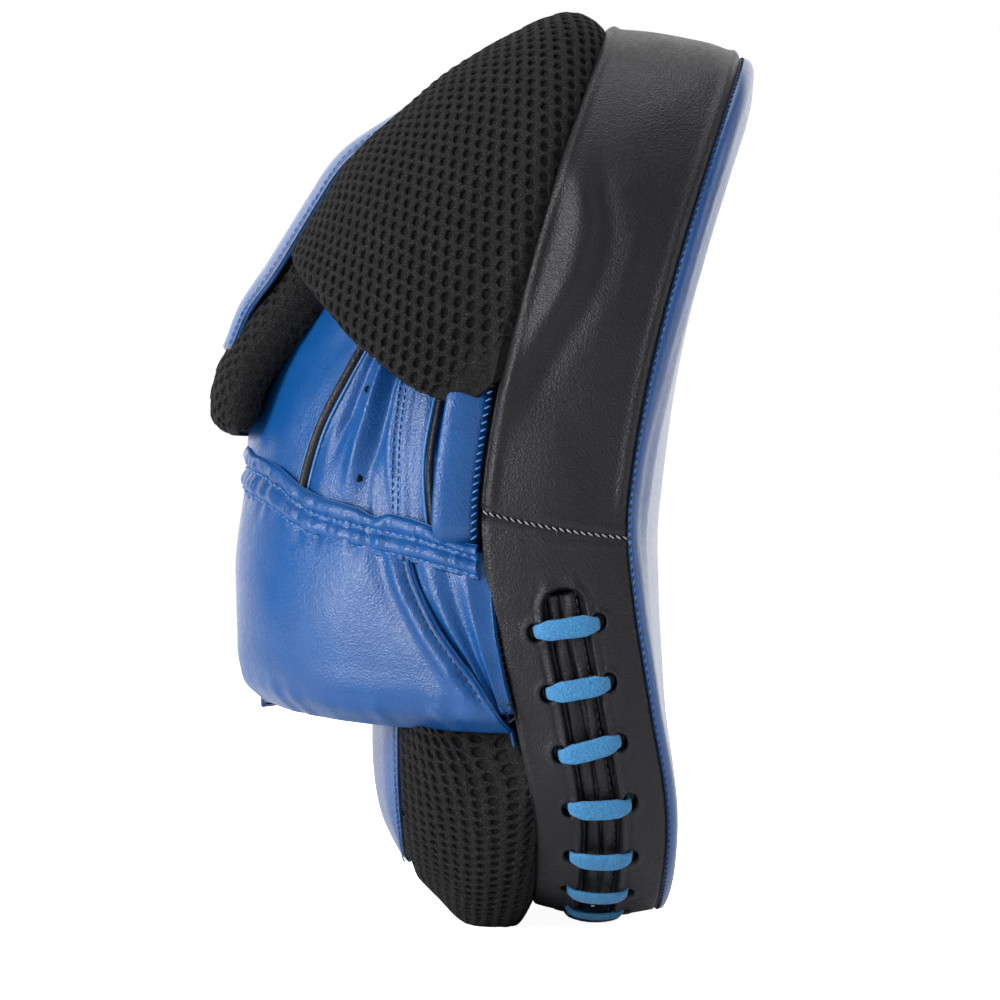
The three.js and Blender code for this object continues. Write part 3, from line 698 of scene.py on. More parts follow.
BLUE = leather("blue_leather", [(4, 74, 140), (6, 80, 149), (10, 87, 157)], 0.33, 0.00011, coat=0.25)
BLUE_SATIN = leather("satin_blue_leather", [(14, 74, 140), (17, 79, 146), (20, 84, 152)], 0.36, 0.00008,
                     coat=0.4, sheen=0.3)
BLUE_DEEP = leather("deep_blue_leather", [(15, 58, 114), (19, 66, 126), (26, 75, 136)], 0.38)
BLACK = leather("black_leather", [(12, 11, 18), (16, 15, 23), (22, 21, 30)], 0.42, 0.00016)
STRANDS = cloth("spacer_mesh_strands", [(0.34, (6, 6, 7)), (0.52, (24, 24, 25)), (0.72, (84, 83, 86))],
                (0.00034, 3, 0.75), ((0.00045, 3, 0.7), 0.00022), 0.86)
# near-black cloth that paints the shade at the bottom of the mesh holes and inside the glove's perforations
HOLE_SHADE = dark_cloth("painted_hole_shade", (3, 3, 3), (12, 12, 12))
KNIT = dark_cloth("dense_knit", (10, 10, 10), (42, 41, 42), 0.0006)
LINING = dark_cloth("brushed_lining", (26, 26, 29), (48, 48, 52), 0.0007)
FOAM = dark_cloth("closed_cell_foam", (46, 48, 54), (70, 73, 80), 0.0012)
LACE = woven_lace()
THREAD_BLACK = thread("black_thread", (14, 14, 16), (34, 34, 38))
THREAD_BLUE = thread("blue_thread", (44, 104, 176), (96, 158, 216))
THREAD_GREY = thread("grey_thread", (120, 118, 122), (188, 186, 190))
TAPE = dark_cloth("hook_and_loop_tape", (20, 20, 22), (52, 52, 56), 0.0009)


# ---------------------------------------------------------------- striking cover and side band
def strike_cover():
    a = np.linspace(0, AROUND, 430, endpoint=False)
    inner = np.linspace(0.02, EDGE_SHARE, 20)
    rim = 1 - (1 - EDGE_SHARE) * np.linspace(1, 0, 26)[1:] ** 1.8
    m = np.concatenate([inner, rim])[:, None]
    top = disc(m, a[None], 0, lambda s, m: FRONT_EDGE + front_swell(s, m))
    face = smooth(1, 0.9, m)
    lumps = 0.3 * noise(top, 34, 3) + 0.12 * noise(top, 11, 4)
    top = top + (lumps * face)[..., None] * np.array([1, 0, 0])
    under = disc(m[::-1], a[None], 1.4, lambda s, m: FRONT_EDGE - 1.4 + front_swell(s, m))
    tuck = disc(np.array([[1.0]]), a[None], 0.7, lambda s, m: FRONT_EDGE - 0.9 + 0 * s)
    shape = Shape()
    closed_loft(shape, np.concatenate([top, tuck, under]))
    shape.finish("strike_cover_leather", [BLUE_SATIN], "blue_leather", ["strike_cover"], fill=0.9)


def slit_gap(a, d):
    """Distance outside the laced slit, in band coordinates."""
    over = np.maximum(0, np.abs(a) - (SLIT_ARC - SLIT_HALF))
    return np.hypot(over, d) - SLIT_HALF


def eyelets(a, d):
    """Depth of the lace holes, with the leather puckered up round each."""
    depth, pucker = np.zeros(np.broadcast(a, d).shape), 0
    for centre in LACE_ARCS:
        away = np.hypot((a - centre) / 2.5, (np.abs(d) - EYE_D - 0.4) / 2.2)
        depth += 3.4 * smooth(1.08, 0.8, away)
        pucker = pucker + 0.35 * bump(away, 1.4, 0.36)
    return pucker - depth


# the long soft fold of the band: height above the floor and place across it
FOLD_BACK = [(146, -20), (160, -18), (173, -14.2), (187, -9.6), (205, -9.4), (222, -16.5), (240, -19.5)]
CREASE_LOW, CREASE_HIGH, CREASE_PLACE = 190, 206, 6.6


def band_relief(a, d):
    """Height of the band's leather: rolled edges, the long fold, a short crease, drape and rumples."""
    b = np.abs(np.mod(a + AROUND / 2, AROUND) - AROUND / 2)
    flat = slab(0 * b, edge(b)[1], 0)
    z = flat[..., 2]
    near = np.where(np.mod(a + AROUND / 2, AROUND) < AROUND / 2, 1.0, 0.8)
    rolled = -1.2 * bump(np.abs(d), 21, 0.8) + 0.8 * bump(np.abs(d), 18.4, 1.4) * smooth(118, 135, z)
    ridge = 2.6 * bump(d, soft(FOLD_BACK, z), 5.0) * smooth(138, 158, z) * smooth(240, 212, z)
    trough = -1.0 * bump(d, soft(FOLD_BACK, z) + 8.5, 4.0) * smooth(150, 170, z) * smooth(236, 205, z)
    short = 0.3 * bump(d, CREASE_PLACE, 0.7)
    short = short * smooth(CREASE_LOW - 6, CREASE_LOW, z) * smooth(CREASE_HIGH + 6, CREASE_HIGH, z)
    where = stack(b * 0.6, d, np.sign(near - 0.9) * 40)
    drape = 0.42 * noise(where, 15, 7) + 0.2 * noise(where, 7, 8)
    rumple = 0.35 * noise(stack(b, d * 1.4, 0 * b), 5.5, 9) * smooth(122, 112, z) * smooth(-2, -10, d)
    rumple = rumple * smooth(70, 84, z)
    return rolled + (ridge + trough) * near + short + drape * smooth(20.5, 17, np.abs(d)) + rumple


def seam_arc(d):
    return SEAM_ARC - SEAM_SLANT * d


PAD_CORE = slab(0, 130, 0)


def end_relief(end):
    """The band turns down at its seam, with a small swell beside it."""
    return -0.9 * bump(end, 0, 0.9) + 0.25 * bump(end, 2.2, 1.2)


def band_upper():
    d = PAD_HALF * np.sin(np.linspace(-math.pi / 2, math.pi / 2, 57))
    t = np.linspace(0, 1, 390)[:, None]
    low = seam_arc(d)[None] + 0.3
    a = mix(low, AROUND - low, t)
    end = np.minimum(a - low, AROUND - low - a)
    rows = band(a, d[None], -band_relief(a, d[None]) - end_relief(end))
    shape = Shape()
    shell(shape, rows, 1.6, PAD_CORE)
    shape.finish("side_band_upper_leather", [BLACK], "black_leather", ["side_band_upper"])


def band_lower():
    """The laced length of the band in two halves, with a round-ended slit between them."""
    fine = [np.arange(-4.6, 4.61, 0.42) + centre for centre in LACE_ARCS]
    arch = SLIT_ARC - SLIT_HALF + SLIT_HALF * np.sin(np.linspace(0, math.pi / 2, 22))
    a = np.concatenate([np.arange(0, 1, 1 / 150) * 2 * SEAM_ARC - SEAM_ARC, *fine, arch, -arch, [SEAM_ARC]])
    a = np.unique(np.round(a, 2))
    a = a[np.concatenate([[True], np.diff(a) > 0.12])][:, None]
    past = np.clip(np.abs(a) - (SLIT_ARC - SLIT_HALF), 0, None) / SLIT_HALF
    w = SLIT_HALF * np.sqrt(np.clip(1 - past**2, 0, 1))
    u = np.concatenate([np.linspace(0, 1, 26)[:-1] ** 1.25 * 0.55, np.linspace(0.55, 1, 16)])
    reach = smooth(SLIT_ARC + 4, SEAM_ARC, np.abs(a))
    shape = Shape()
    for side in (-1, 1):
        d = side * mix(w, PAD_HALF, u[None])
        limit = seam_arc(d) - 0.3
        arc = a * (1 + (limit / SEAM_ARC - 1) * reach)
        gap = slit_gap(arc, d)
        lip = -2.0 * smooth(1.3, -0.2, gap) + 0.55 * bump(gap, 1.7, 0.9) - 0.25 * bump(gap, 3.3, 0.8)
        height = band_relief(arc, d) * smooth(0, 3, gap + 1) + lip + eyelets(arc, d)
        rows = band(arc, d, -height - end_relief(limit - np.abs(arc)))
        under = [band(arc[:, :1], side * (w + step), deep) for step, deep in ((0.9, 3.9), (0.1, 3.0))]
        shell(shape, np.concatenate([*under, rows], axis=1), 1.2, PAD_CORE)
    shape.finish("side_band_lower_leather", [BLACK], "black_leather", ["side_band_lower"])


def tongue():
    """The padded tongue under the slit."""
    reach = SLIT_ARC - 1.5
    a = np.linspace(-reach, reach, 420)[:, None]
    d = np.linspace(-6.6, 6.6, 45)[None]

    def top(a, d):
        """Depth of the puffed and crumpled leather under the band."""
        where = stack(a * 0.35, d, 0)
        puff = 1.15 * np.clip(1 - ((np.abs(d) - 2.5) / 2.5) ** 2, 0, 1) ** 0.7
        return 2.3 - puff - 0.7 * noise(where, 3.4, 21) - 0.35 * noise(where, 1.8, 22)

    groove = -0.7 * bump(d + 0.7 * np.sin(a / 9), 0, 0.5) - 0.3 * bump(np.abs(d), 4.9, 0.4)
    shape = Shape()
    shell(shape, band(a, d, top(a, d) - groove), 0.9, PAD_CORE)
    seam_d = 4.2
    line = band(a[:, 0], seam_d, top(a[:, 0], seam_d) - 0.15)
    seam(shape, line, unit(line - PAD_CORE), 2.8, 1.9, 0.26, number=1)
    shape.finish("lace_tongue_leather", [BLACK, THREAD_BLACK], "black_leather", ["lace_tongue"])


LACE_UNDER = 4.3            # depth of the lace's hidden runs under the leather
# one half of a crossing: share of its tilt, place short of the hole, depth
LACE_DIP = [(0.4, 1.1, LACE_UNDER), (1, 0, 2.2), (1, 0, 0.4), (1, 1.2, -0.95), (0.5, EYE_D - 4.4, -1.75)]


def lace():
    """The flat lace: over the slit from hole to hole, and back slantwise under the leather."""
    way = [(LACE_ARCS[0] + 1, -4, LACE_UNDER)]
    for i, a in enumerate(LACE_ARCS):
        tilt = 0.6 * math.sin(2.3 * i + 0.6)
        way += [(a - tilt * share, short - EYE_D, depth) for share, short, depth in LACE_DIP]
        way.append((a, 0, -1.95))
        way += [(a + tilt * share, EYE_D - short, depth) for share, short, depth in LACE_DIP[::-1]]
        if i < LACE_COUNT - 1:
            step = LACE_ARCS[i + 1] - a
            way += [(a + step * 0.25, 4.6, LACE_UNDER), (a + step * 0.75, -4.6, LACE_UNDER)]
    way.append((LACE_ARCS[-1] - 1, 4, LACE_UNDER))
    a, d, depth = Path(way, fine=7).points.T
    centre = band(a, d, depth)
    along = unit(np.gradient(centre, axis=0))
    side = band(a + 0.5, d, depth) - band(a - 0.5, d, depth)
    side = unit(side - along * (side * along).sum(1, keepdims=True))
    up = np.cross(along, side)
    wide = mix(3.9, 6.1, smooth(9.4, 5.0, np.abs(d))) * np.where(depth > 0, 0.86, 1)
    wide = wide * (1 + 0.04 * noise(centre, 5, 31))
    thick = np.where(depth < 0, 1.7, 1.3)
    angle = turn_in(20)
    c = np.sign(np.cos(angle)) * np.abs(np.cos(angle)) ** 0.55
    s = np.sign(np.sin(angle)) * np.abs(np.sin(angle)) ** 0.75
    rings = centre[:, None] + side[:, None] * (wide[:, None] / 2 * c)[..., None]
    rings = rings + up[:, None] * (thick[:, None] / 2 * s)[..., None]
    rings = rings + 0.05 * noise(rings, 0.9, 32)[..., None]
    shape = Shape()
    closed_loft(shape, rings)
    shape.finish("lace_woven", [LACE], "blue_lace", ["lace"])


def seam_threads():
    """Threads of the front seam and of the seam across the band."""
    dark, grey = Shape(), Shape()
    a = np.linspace(0, AROUND, 1600)
    rim = band(a, 21.35, 0.35)
    out = unit(band(a, 21.35, -0.6) - band(a, 21.35, 0.4) + 0.5 * (band(a, 22.3, 0) - band(a, 21, 0)))
    seam(dark, rim, out, 2.3, 2.0, 0.3, lean=1.1, sink=0.0)
    for sign in (-1, 1):
        d = np.linspace(-20, 20, 60)
        arcs = sign * seam_arc(d)
        line = band(arcs, d, -band_relief(arcs, d) + 0.35)
        seam(grey, line, unit(line - slab(0, 121, 0)), 2.1, 1.7, 0.24, lean=0.9, sink=0.0)
    dark.finish("front_seam_thread", [THREAD_BLACK], "black_leather")
    grey.finish("band_seam_thread", [THREAD_GREY], "black_leather")


# ---------------------------------------------------------------- spacer mesh
PITCH_X, PITCH_Y = 3.8, 4.4
CORNERS = 12                # points round one cell
RINGS = 6                   # rings of points from a cell's edge down its hole
HEX = np.array([(2.537, 0), (1.9, 1.1), (1.263, 2.2), (0, 2.2), (-1.263, 2.2), (-1.9, 1.1),
                (-2.537, 0), (-1.9, -1.1), (-1.263, -2.2), (0, -2.2), (1.263, -2.2), (1.9, -1.1)])
HOLE = (1.12, 1.5)
MESH_DEPTH = 1.15           # the knit backing under the mesh


def lattice(shape, place, inside, span, turn=0.0, deep=2.0, scale=1.0):
    """Hexagonal spacer mesh: place(x, y) gives points and normals, inside(x, y) tells where the cloth is."""
    (x0, x1), (y0, y1) = span
    i = np.arange(math.floor(x0 / PITCH_X / scale), math.ceil(x1 / PITCH_X / scale) + 1)
    j = np.arange(math.floor(y0 / PITCH_Y / scale), math.ceil(y1 / PITCH_Y / scale) + 1)
    i, j = (c.ravel() for c in np.meshgrid(i, j))
    centre = np.stack([i * PITCH_X, j * PITCH_Y + np.mod(i, 2) * PITCH_Y / 2], axis=-1) * scale
    c, s = math.cos(turn), math.sin(turn)
    spin = np.array([[c, s], [-s, c]])
    angle = turn_in(CORNERS)
    hole = np.stack([HOLE[0] * np.cos(angle), HOLE[1] * np.sin(angle)], axis=-1)
    rings = [(HEX, 0.0), (mix(HEX, hole, 0.5), 0.02), (hole * 1.16, -0.16), (hole, -0.55),
             (hole * 0.93, -1.2), (hole * 0.95, -deep)]
    corners = (centre[:, None] + HEX[None] * scale) @ spin
    keep = inside(corners[..., 0], corners[..., 1]).all(axis=1)
    centre = centre[keep]
    made = []
    for offsets, height in rings:
        flat = (centre[:, None] + offsets[None] * scale) @ spin
        points, normals = place(flat[..., 0], flat[..., 1])
        made.append(points + normals * height)
    made = np.stack(made, axis=1)
    flat = centre @ spin
    points, normals = place(flat[:, 0], flat[:, 1])
    hub = points - normals * deep
    count = len(centre)
    k = np.arange(CORNERS)
    ahead = (k + 1) % CORNERS
    cell = (np.arange(count) * CORNERS * RINGS)[:, None, None]
    walls = [np.stack([k, ahead, ahead + CORNERS, k + CORNERS], -1) + r * CORNERS for r in range(RINGS - 1)]
    sign = np.cross(made[0, 0, 1] - made[0, 0, 0], made[0, 1, 0] - made[0, 0, 0]) @ normals[0]
    order = slice(None) if sign > 0 else slice(None, None, -1)
    first = shape.count
    shape.add(made, (np.concatenate(walls[:-1])[None] + cell)[..., order])
    # the lowest ring of each hole's wall takes material 1, near-black painted shade
    shape.link(first + (walls[-1][None] + cell)[..., order], 1)
    hubs = np.broadcast_to(shape.count + np.arange(count)[:, None], (count, CORNERS // 2))
    shape.add(hub, np.zeros((0, 4)))
    even = np.arange(0, CORNERS, 2)
    base = first + cell[..., 0] + CORNERS * (RINGS - 1)
    floor = np.stack([hubs, *(base + (even + step) % CORNERS for step in range(3))], -1)
    # each hole's floor takes material 1 too, painted shade
    shape.link(floor[..., order], 1)


class Patch:
    """A fan's surface laid out flat round its pole, so that the mesh keeps its pitch."""

    CURL = 4.5                  # radius of the free rim's roll
    ROOT_CURL = 2.2             # and of the roll at the root
    HOOD_RUN = 165              # the hood's length from root to tip, roughly

    def __init__(self, fan, sign, core, puff, rim=None, push=0.0):
        self.fan, self.sign, self.core, self.puff, self.push, self.rim = fan, sign, core, puff, push, rim
        self.ks = np.linspace(-0.03, 1, 104)
        grid = fan(np.clip(self.ks, 0, 1)[:, None], sign * np.linspace(0, 1, 90)[None])
        self.lengths = np.linalg.norm(np.diff(grid, axis=1), axis=2).sum(1)

    def shares(self, x, y):
        angle = np.degrees(np.arctan2(y, x))
        angle = np.where(angle < -5, angle + 360, angle)
        k = (angle - self.fan.start) / (self.fan.end - self.fan.start)
        tau = 1 - np.hypot(x, y) / np.interp(k, self.ks, self.lengths)
        return k, np.clip(tau, 0, 1)

    def surface(self, k, tau):
        """Point and outward normal, curled in at the free rim and at the root."""
        held, beyond = np.clip(k, 0, 1), 0 * k
        if self.rim is not None:
            limit = self.rim(tau) - self.CURL / self.HOOD_RUN
            held, beyond = np.minimum(held, limit), np.maximum(0, k - limit)
        e, s = 0.004, self.sign
        point = self.fan(held, s * tau)
        low, high = np.clip(held - e, 0, 1), np.clip(held + e, 0, 1)
        du = self.fan(high, s * tau) - self.fan(low, s * tau)
        dv = self.fan(held, s * np.clip(tau + e, 0, 1)) - self.fan(held, s * np.clip(tau - e, 0, 1))
        normal = unit(np.cross(du, dv))
        flip = np.sign(((point - self.core) * normal).sum(-1, keepdims=True))
        normal = normal * np.where(flip == 0, 1, flip)
        rate = np.linalg.norm(du, axis=-1) / np.maximum(high - low, 1e-6)
        rim_roll = (beyond * rate, self.CURL, 2.6, unit(du))
        root_roll = (np.maximum(0, -k) * np.maximum(rate, 60), self.ROOT_CURL, 1.9, -unit(du))
        for over, curl, turn, ahead in (rim_roll, root_roll):
            bend = np.minimum(over / curl, turn)[..., None]
            left = over[..., None] - bend * curl
            c, s = np.cos(bend), np.sin(bend)
            point = point + curl * (ahead * s - normal * (1 - c))
            ahead, normal = ahead * c - normal * s, normal * c + ahead * s
            point = point + ahead * left
        point = point + normal * self.puff(k, tau)[..., None]
        point[..., 0] += self.push * smooth(0.1, 0.0, k)
        return point, normal

    def place(self, x, y):
        return self.surface(*self.shares(x, y))


def panel_drop(k):
    """The blue centre of the hood lies in a shallow valley near the top of the pad."""
    return 3.6 * smooth(0.5, 0.28, k)


def edge_seams(shape, fan, core, ks, side_at, height):
    """A row of stitches just inside both edges of a panel on a fan."""
    for side in (-1, 1):
        line = fan(ks, side * (side_at(ks) - 0.014))
        out = unit(line - core)
        seam(shape, line + out * height, out, 2.4, 1.7, 0.24, number=1)


def hood_patch(side, sign):
    """The mesh of one side of the hood over its knit backing, curled in at its free rim."""
    def puff(k, tau):
        gap = (tau - hood_split(k)) * 150
        root = 1.3 * smooth(-0.02, 0.015, k) * smooth(0.12, 0.03, k)
        return -(1.4 + panel_drop(k)) * smooth(8, 0, gap) + 1.0 * smooth(0, 26, gap) + root

    patch = Patch(hood, sign, HOOD_CORE, puff, rim=rim_k)

    def inside(x, y):
        k, tau = patch.shares(x, y)
        return (k > -0.085) & (tau > hood_split(k) - 0.03) & (tau < 0.985) & (k < rim_k(tau) + 0.08)

    shape = Shape()
    lattice(shape, patch.place, inside, ((-130, 130), (-20, 150)))
    u, v = net(90, 60)
    tau = mix(hood_split(u * 0.7) - 0.03, 0.996, v)
    k = mix(-0.08, rim_k(tau) + 0.08, u)
    rows, normals = patch.surface(k, tau)
    depth = MESH_DEPTH - 1.2 * np.maximum(smooth(0.9, 0.96, tau), smooth(0.0, -0.03, k))
    shell(shape, rows - normals * depth[..., None], 1.4, HOOD_CORE, number=2)
    shape.finish(f"hood_spacer_mesh_{side}", [STRANDS, HOLE_SHADE, KNIT], "air_mesh",
                 [f"hood_mesh_{side}", f"hood_rim_binding_{side}"], fill=0.7)


PANEL_END = 0.86


def panel_edge(k):
    return (hood_split(k) + 0.002) * mix(1, 0.8, smooth(0.7, PANEL_END, k))


def panel_sink(k):
    """How far the hood's panel lies in, in its valley and at its free end."""
    return panel_drop(k) + 1.4 * smooth(0.76, PANEL_END, k)


def hood_panel():
    u, v = net(120, 61, -1)
    k = u * PANEL_END
    rows = hood(k, v * panel_edge(k))
    n = facing(rows, HOOD_CORE)
    gap = (1 - np.abs(v)) * 40
    swell = 1.5 * smooth(0, 12, gap) - 0.6 * smooth(2.5, 0, gap) + 0.25 * noise(rows, 26, 41)
    shape = Shape()
    shell(shape, rows + n * (swell + 0.3 - panel_sink(k))[..., None], 1.6, HOOD_CORE)
    ks = np.linspace(0.01, 0.85, 200)
    edge_seams(shape, hood, HOOD_CORE, ks, panel_edge, (0.7 - panel_sink(ks))[:, None])
    shape.finish("hood_centre_leather", [BLUE_SATIN, THREAD_BLUE], "blue_leather", ["hood_centre_panel"],
                 fill=0.6)


def hood_inside():
    """The lining over the fingertips."""
    k, tau = np.linspace(0.02, 0.66, 50)[:, None], np.linspace(-0.93, 0.93, 90)[None]
    rows = hood(k * np.minimum(1, rim_k(tau) / 0.66), tau)
    n = facing(rows, HOOD_CORE)
    shape = Shape()
    shell(shape, rows - n * 5.0, 1.0, HOOD_CORE)
    shape.finish("hood_lining_cloth", [LINING], "lining", ["hood_lining"])


def strip_place(strip, wide):
    """place(x, y) for a lattice on a strip of points, x along it and y from -wide to wide across."""
    last_row, last_column = strip.shape[0] - 1, strip.shape[1] - 1
    run = run_along(strip[:, last_column // 2])
    normals = facing(strip, strip.mean(axis=(0, 1)) - [0, math.copysign(20, strip[..., 1].mean()), 0])

    def place(x, y):
        i = np.clip(np.interp(x, run, np.arange(last_row + 1)), 0, last_row - 0.001)
        j = np.clip((y + wide) / (2 * wide) * last_column, 0, last_column - 0.001)
        i0, j0 = i.astype(int), j.astype(int)
        fi, fj = (i - i0)[..., None], (j - j0)[..., None]

        def read(g):
            return mix(mix(g[i0, j0], g[i0, j0 + 1], fj), mix(g[i0 + 1, j0], g[i0 + 1, j0 + 1], fj), fi)
        return read(strip), unit(read(normals))

    return place, run[-1]


TIP_FROM, TIP_LENGTH = 0.97, 0.05
TONGUE_SIDES = 72
TONGUE_WRAP = 28.0          # how far the mesh reaches round from the middle of either side


def tongue_pad():
    """The thick pad at the free end of the hood, under the blue panel and rounded over its tip."""
    tip_turn = np.linspace(0, math.pi / 2, 14)[1:]
    k = np.concatenate([np.linspace(0.62, TIP_FROM, 60), TIP_FROM + TIP_LENGTH * np.sin(tip_turn)])
    tip = np.clip((k - TIP_FROM) / TIP_LENGTH, 0, 1)
    angle = turn_in(TONGUE_SIDES)
    c, s = np.cos(angle), np.sin(angle)
    c = np.sign(c) * np.abs(c) ** 0.5
    s = np.sign(s) * np.abs(s) ** 0.62
    half = soft([(0.62, 12.0), (0.72, 10.8), (0.85, 9.0), (0.97, 8.2), (1.02, 8.0)], k)
    middle = half + soft([(0.62, 1.4), (0.85, 1.0), (0.9, 0.2), (1.02, -0.4)], k)
    half = half * np.sqrt(np.clip(1 - tip**2, 0.04, 1))
    tau = (0.262 * mix(1, 0.93, tip**2))[:, None] * c[None]
    held = np.minimum(k, 1.0)[:, None]
    base = hood(held, tau)
    n = fan_normal(hood, held, tau, HOOD_CORE)
    lumps = 0.3 * noise(base, 9, 51)
    beyond = unit(hood(1.0, tau) - hood(0.985, tau)) * (np.maximum(k - 1.0, 0) * 170)[:, None, None]

    def body(inset):
        depth = middle[:, None] - (half - inset)[:, None] * s[None]
        return base + beyond + n * (lumps - depth)[..., None]

    shape = Shape()
    closed_loft(shape, body(1.3), number=2)
    quarter = TONGUE_SIDES // 4
    for middle_column in (0, 2 * quarter):
        wall = np.roll(body(0.0), quarter - middle_column, axis=1)[:, :2 * quarter + 1]
        strip = []
        for line in wall:
            run = run_along(line)
            strip.append(read_along(line, run, np.linspace(-TONGUE_WRAP, TONGUE_WRAP, 113) + run[quarter]))
        place, end = strip_place(np.array(strip), TONGUE_WRAP)
        lattice(shape, place, lambda x, y, end=end: (x > -1) & (x < end + 1) & (np.abs(y) < TONGUE_WRAP),
                ((-2, end + 2), (-TONGUE_WRAP - 3, TONGUE_WRAP + 3)), turn=0.35, deep=1.3)
    shape.finish("hood_tongue_mesh", [STRANDS, HOLE_SHADE, KNIT], "air_mesh", ["hood_tongue_pad"], fill=0.85)


PANEL_FROM = 0.26


def panel_side(k):
    """Where the heel's blue panel ends to the side; its top corners are round."""
    return soft([(0.26, 0.1), (0.265, 0.16), (0.285, 0.26), (0.32, 0.35), (0.37, 0.42), (0.45, 0.455),
                 (0.55, 0.465), (1.0, 0.465)], k)


def heel_patch(side, sign):
    """The mesh of one side of the heel, which meets the blue panel in the middle."""
    def gap_to_panel(k, tau):
        beside = (tau - panel_side(k)) * 125
        return np.where(k > PANEL_FROM, beside, (PANEL_FROM - k) * 160 + np.maximum(0, tau - 0.2) * 60)

    def puff(k, tau):
        return -1.5 * smooth(6, 0, gap_to_panel(k, tau))

    patch = Patch(heel, sign, HEEL_CORE, puff, push=1.6)

    def inside(x, y):
        k, tau = patch.shares(x, y)
        return (k > -0.1) & (k < 0.985) & (tau < 0.985) & (tau > -0.01) & (gap_to_panel(k, tau) > -2.5)

    shape = Shape()
    lattice(shape, patch.place, inside, ((-130, 40), (-135, 20)), scale=0.8)
    u, v = np.linspace(-0.1, 0.985, 90)[:, None], np.linspace(0, 1, 70)[None]
    tau = mix(np.where(u > PANEL_FROM, panel_side(u) - 0.03, 0.0), 0.992, v)
    rows, normals = patch.surface(u + 0 * v, tau)
    shell(shape, rows - normals * MESH_DEPTH, 1.4, HEEL_CORE, number=2)
    shape.finish(f"heel_spacer_mesh_{side}", [STRANDS, HOLE_SHADE, KNIT], "air_mesh",
                 ["heel_mesh"] if sign < 0 else (), fill=0.8)


def heel_panel():
    u, v = net(110, 81, -1)
    k = mix(PANEL_FROM - 0.005, 0.965, u)
    tau = v * (panel_side(k) + 0.004)
    rows = heel(k, tau)
    n = facing(rows, HEEL_CORE)
    gap = np.minimum((1 - np.abs(v)) * 58, u * 110)
    swell = 1.3 * smooth(0, 14, gap) - 0.5 * smooth(2.5, 0, gap) + 0.25 * noise(rows, 24, 61)
    shape = Shape()
    shell(shape, rows + n * (swell + 0.25)[..., None], 1.6, HEEL_CORE)
    edge_seams(shape, heel, HEEL_CORE, np.linspace(PANEL_FROM, 0.96, 200), panel_side, 0.6)
    shape.finish("heel_centre_leather", [BLUE_SATIN, THREAD_BLUE], "blue_leather", ["heel_centre_panel"],
                 fill=0.7)


# ---------------------------------------------------------------- palm side: back cover and glove
def back_cover():
    """The blue palm side of the pad, whose edge beside the hand stands up as a strip."""
    a = np.linspace(0, AROUND, 430, endpoint=False)
    z = slab(0, edge(a)[1], -PAD_HALF)[..., 2]
    inset = BACK_INSET - 6.6 * smooth(113, SEAM_Z, z) * smooth(166, 156, z)
    rim = 1 - (1 - EDGE_SHARE) * np.linspace(1, 0, 24)[1:] ** 1.6
    m = np.concatenate([np.linspace(0.02, EDGE_SHARE, 24), rim])[:, None]

    def height(drop, share=1.0):
        """The puffed side, full to its edge beside the hand; share lowers it for the rings of its wall."""
        def top(s, m):
            e = np.clip((1 - m) / (1 - EDGE_SHARE), 0, 1)
            swell = back_puff(s) - drop
            level = slab(0, s, -PAD_HALF)[..., 2]
            full = smooth(113, SEAM_Z, level) * smooth(170, 158, level)
            edge_swell = swell * mix(0.75, 1.0, full) + 2.6 * full
            return -FRONT_EDGE - share * mix(edge_swell, swell, smooth(0, 1, e)) + 0 * m
        return top

    outer = disc(m, a[None], inset[None], height(0))
    under = disc(m[::-1], a[None], inset[None] + 1.2, height(1.2))
    wall = [disc(np.array([[1.0]]), a[None], inset[None] - wide, height(0, share))
            for share, wide in ((0.93, 0.9), (0.75, 1.3), (0.5, 1.2), (0.25, 0.8), (0.03, 0.0))]
    shape = Shape()
    closed_loft(shape, np.concatenate([outer, *wall, under]))
    for sign in (-1, 1):
        arcs = sign * np.linspace(arc_at_height(119), arc_at_height(160), 120)
        line = disc(np.ones(120), arcs, 1.3, lambda s, m: -FRONT_EDGE - 1.6 + 0 * s)
        seam(shape, line, np.array([0.0, sign, 0.0]), 2.2, 1.2, 0.28, lean=1.7, sink=-0.2, number=1)
    shape.finish("back_cover_leather", [BLUE, THREAD_BLUE], "blue_leather", ["back_cover"], fill=0.7)


def glove_folds(p, tau, v):
    """Height of the glove's folds, which run up it beside the piped seam."""
    t = np.abs(tau)
    ridge = 3.0 * bump(t - soft([(0, 0.68), (0.4, 0.745), (1, 0.76)], v), 0, 0.026) * smooth(0.0, 0.3, v)
    valley = -2.2 * bump(t - soft([(0, 0.745), (0.4, 0.795), (1, 0.8)], v), 0, 0.022) * smooth(0.05, 0.3, v)
    trough = -2.2 * bump(t - soft([(0, 0.6), (0.5, 0.675), (1, 0.7)], v), 0, 0.022) * smooth(0.1, 0.4, v)
    second = 1.3 * bump(t - soft([(0, 0.84), (0.5, 0.83), (1, 0.82)], v), 0, 0.02) * smooth(0.0, 0.25, v)
    wrinkles = 0.7 * noise(stack(t * 260, v * 9, 0), 7, 74) * smooth(0.72, 0.8, t) * smooth(0.97, 0.9, t)
    return 0.9 * noise(p, 20, 71) + 0.35 * noise(p, 8, 72) + ridge + valley + trough + second + wrinkles


def glove_piece(name, node, low, high, columns, sign=0):
    v, t = net(110, columns)
    tau = mix(low(v), high(v), t)
    rows = glove(v, tau)
    n = facing(rows, GLOVE_CORE)
    side = np.minimum(t, 1 - t) * 60
    swell = 0.9 * smooth(0, 9, side) + glove_folds(rows, tau, v) * smooth(0, 5, side)
    rows = rows + n * swell[..., None]
    shape = Shape()
    shell(shape, rows, 1.4, GLOVE_CORE)
    if sign:
        glove_side_details(shape, sign)
    shape.finish(name, [BLUE, THREAD_BLUE, HOLE_SHADE, BLACK], "blue_leather", [node])


def on_glove(v, tau, height):
    """Points on the glove's folded leather and their outward normals."""
    points, n = glove(v, tau), fan_normal(glove, v, tau, GLOVE_CORE)
    return points + n * (height + glove_folds(points, tau, v))[:, None], n


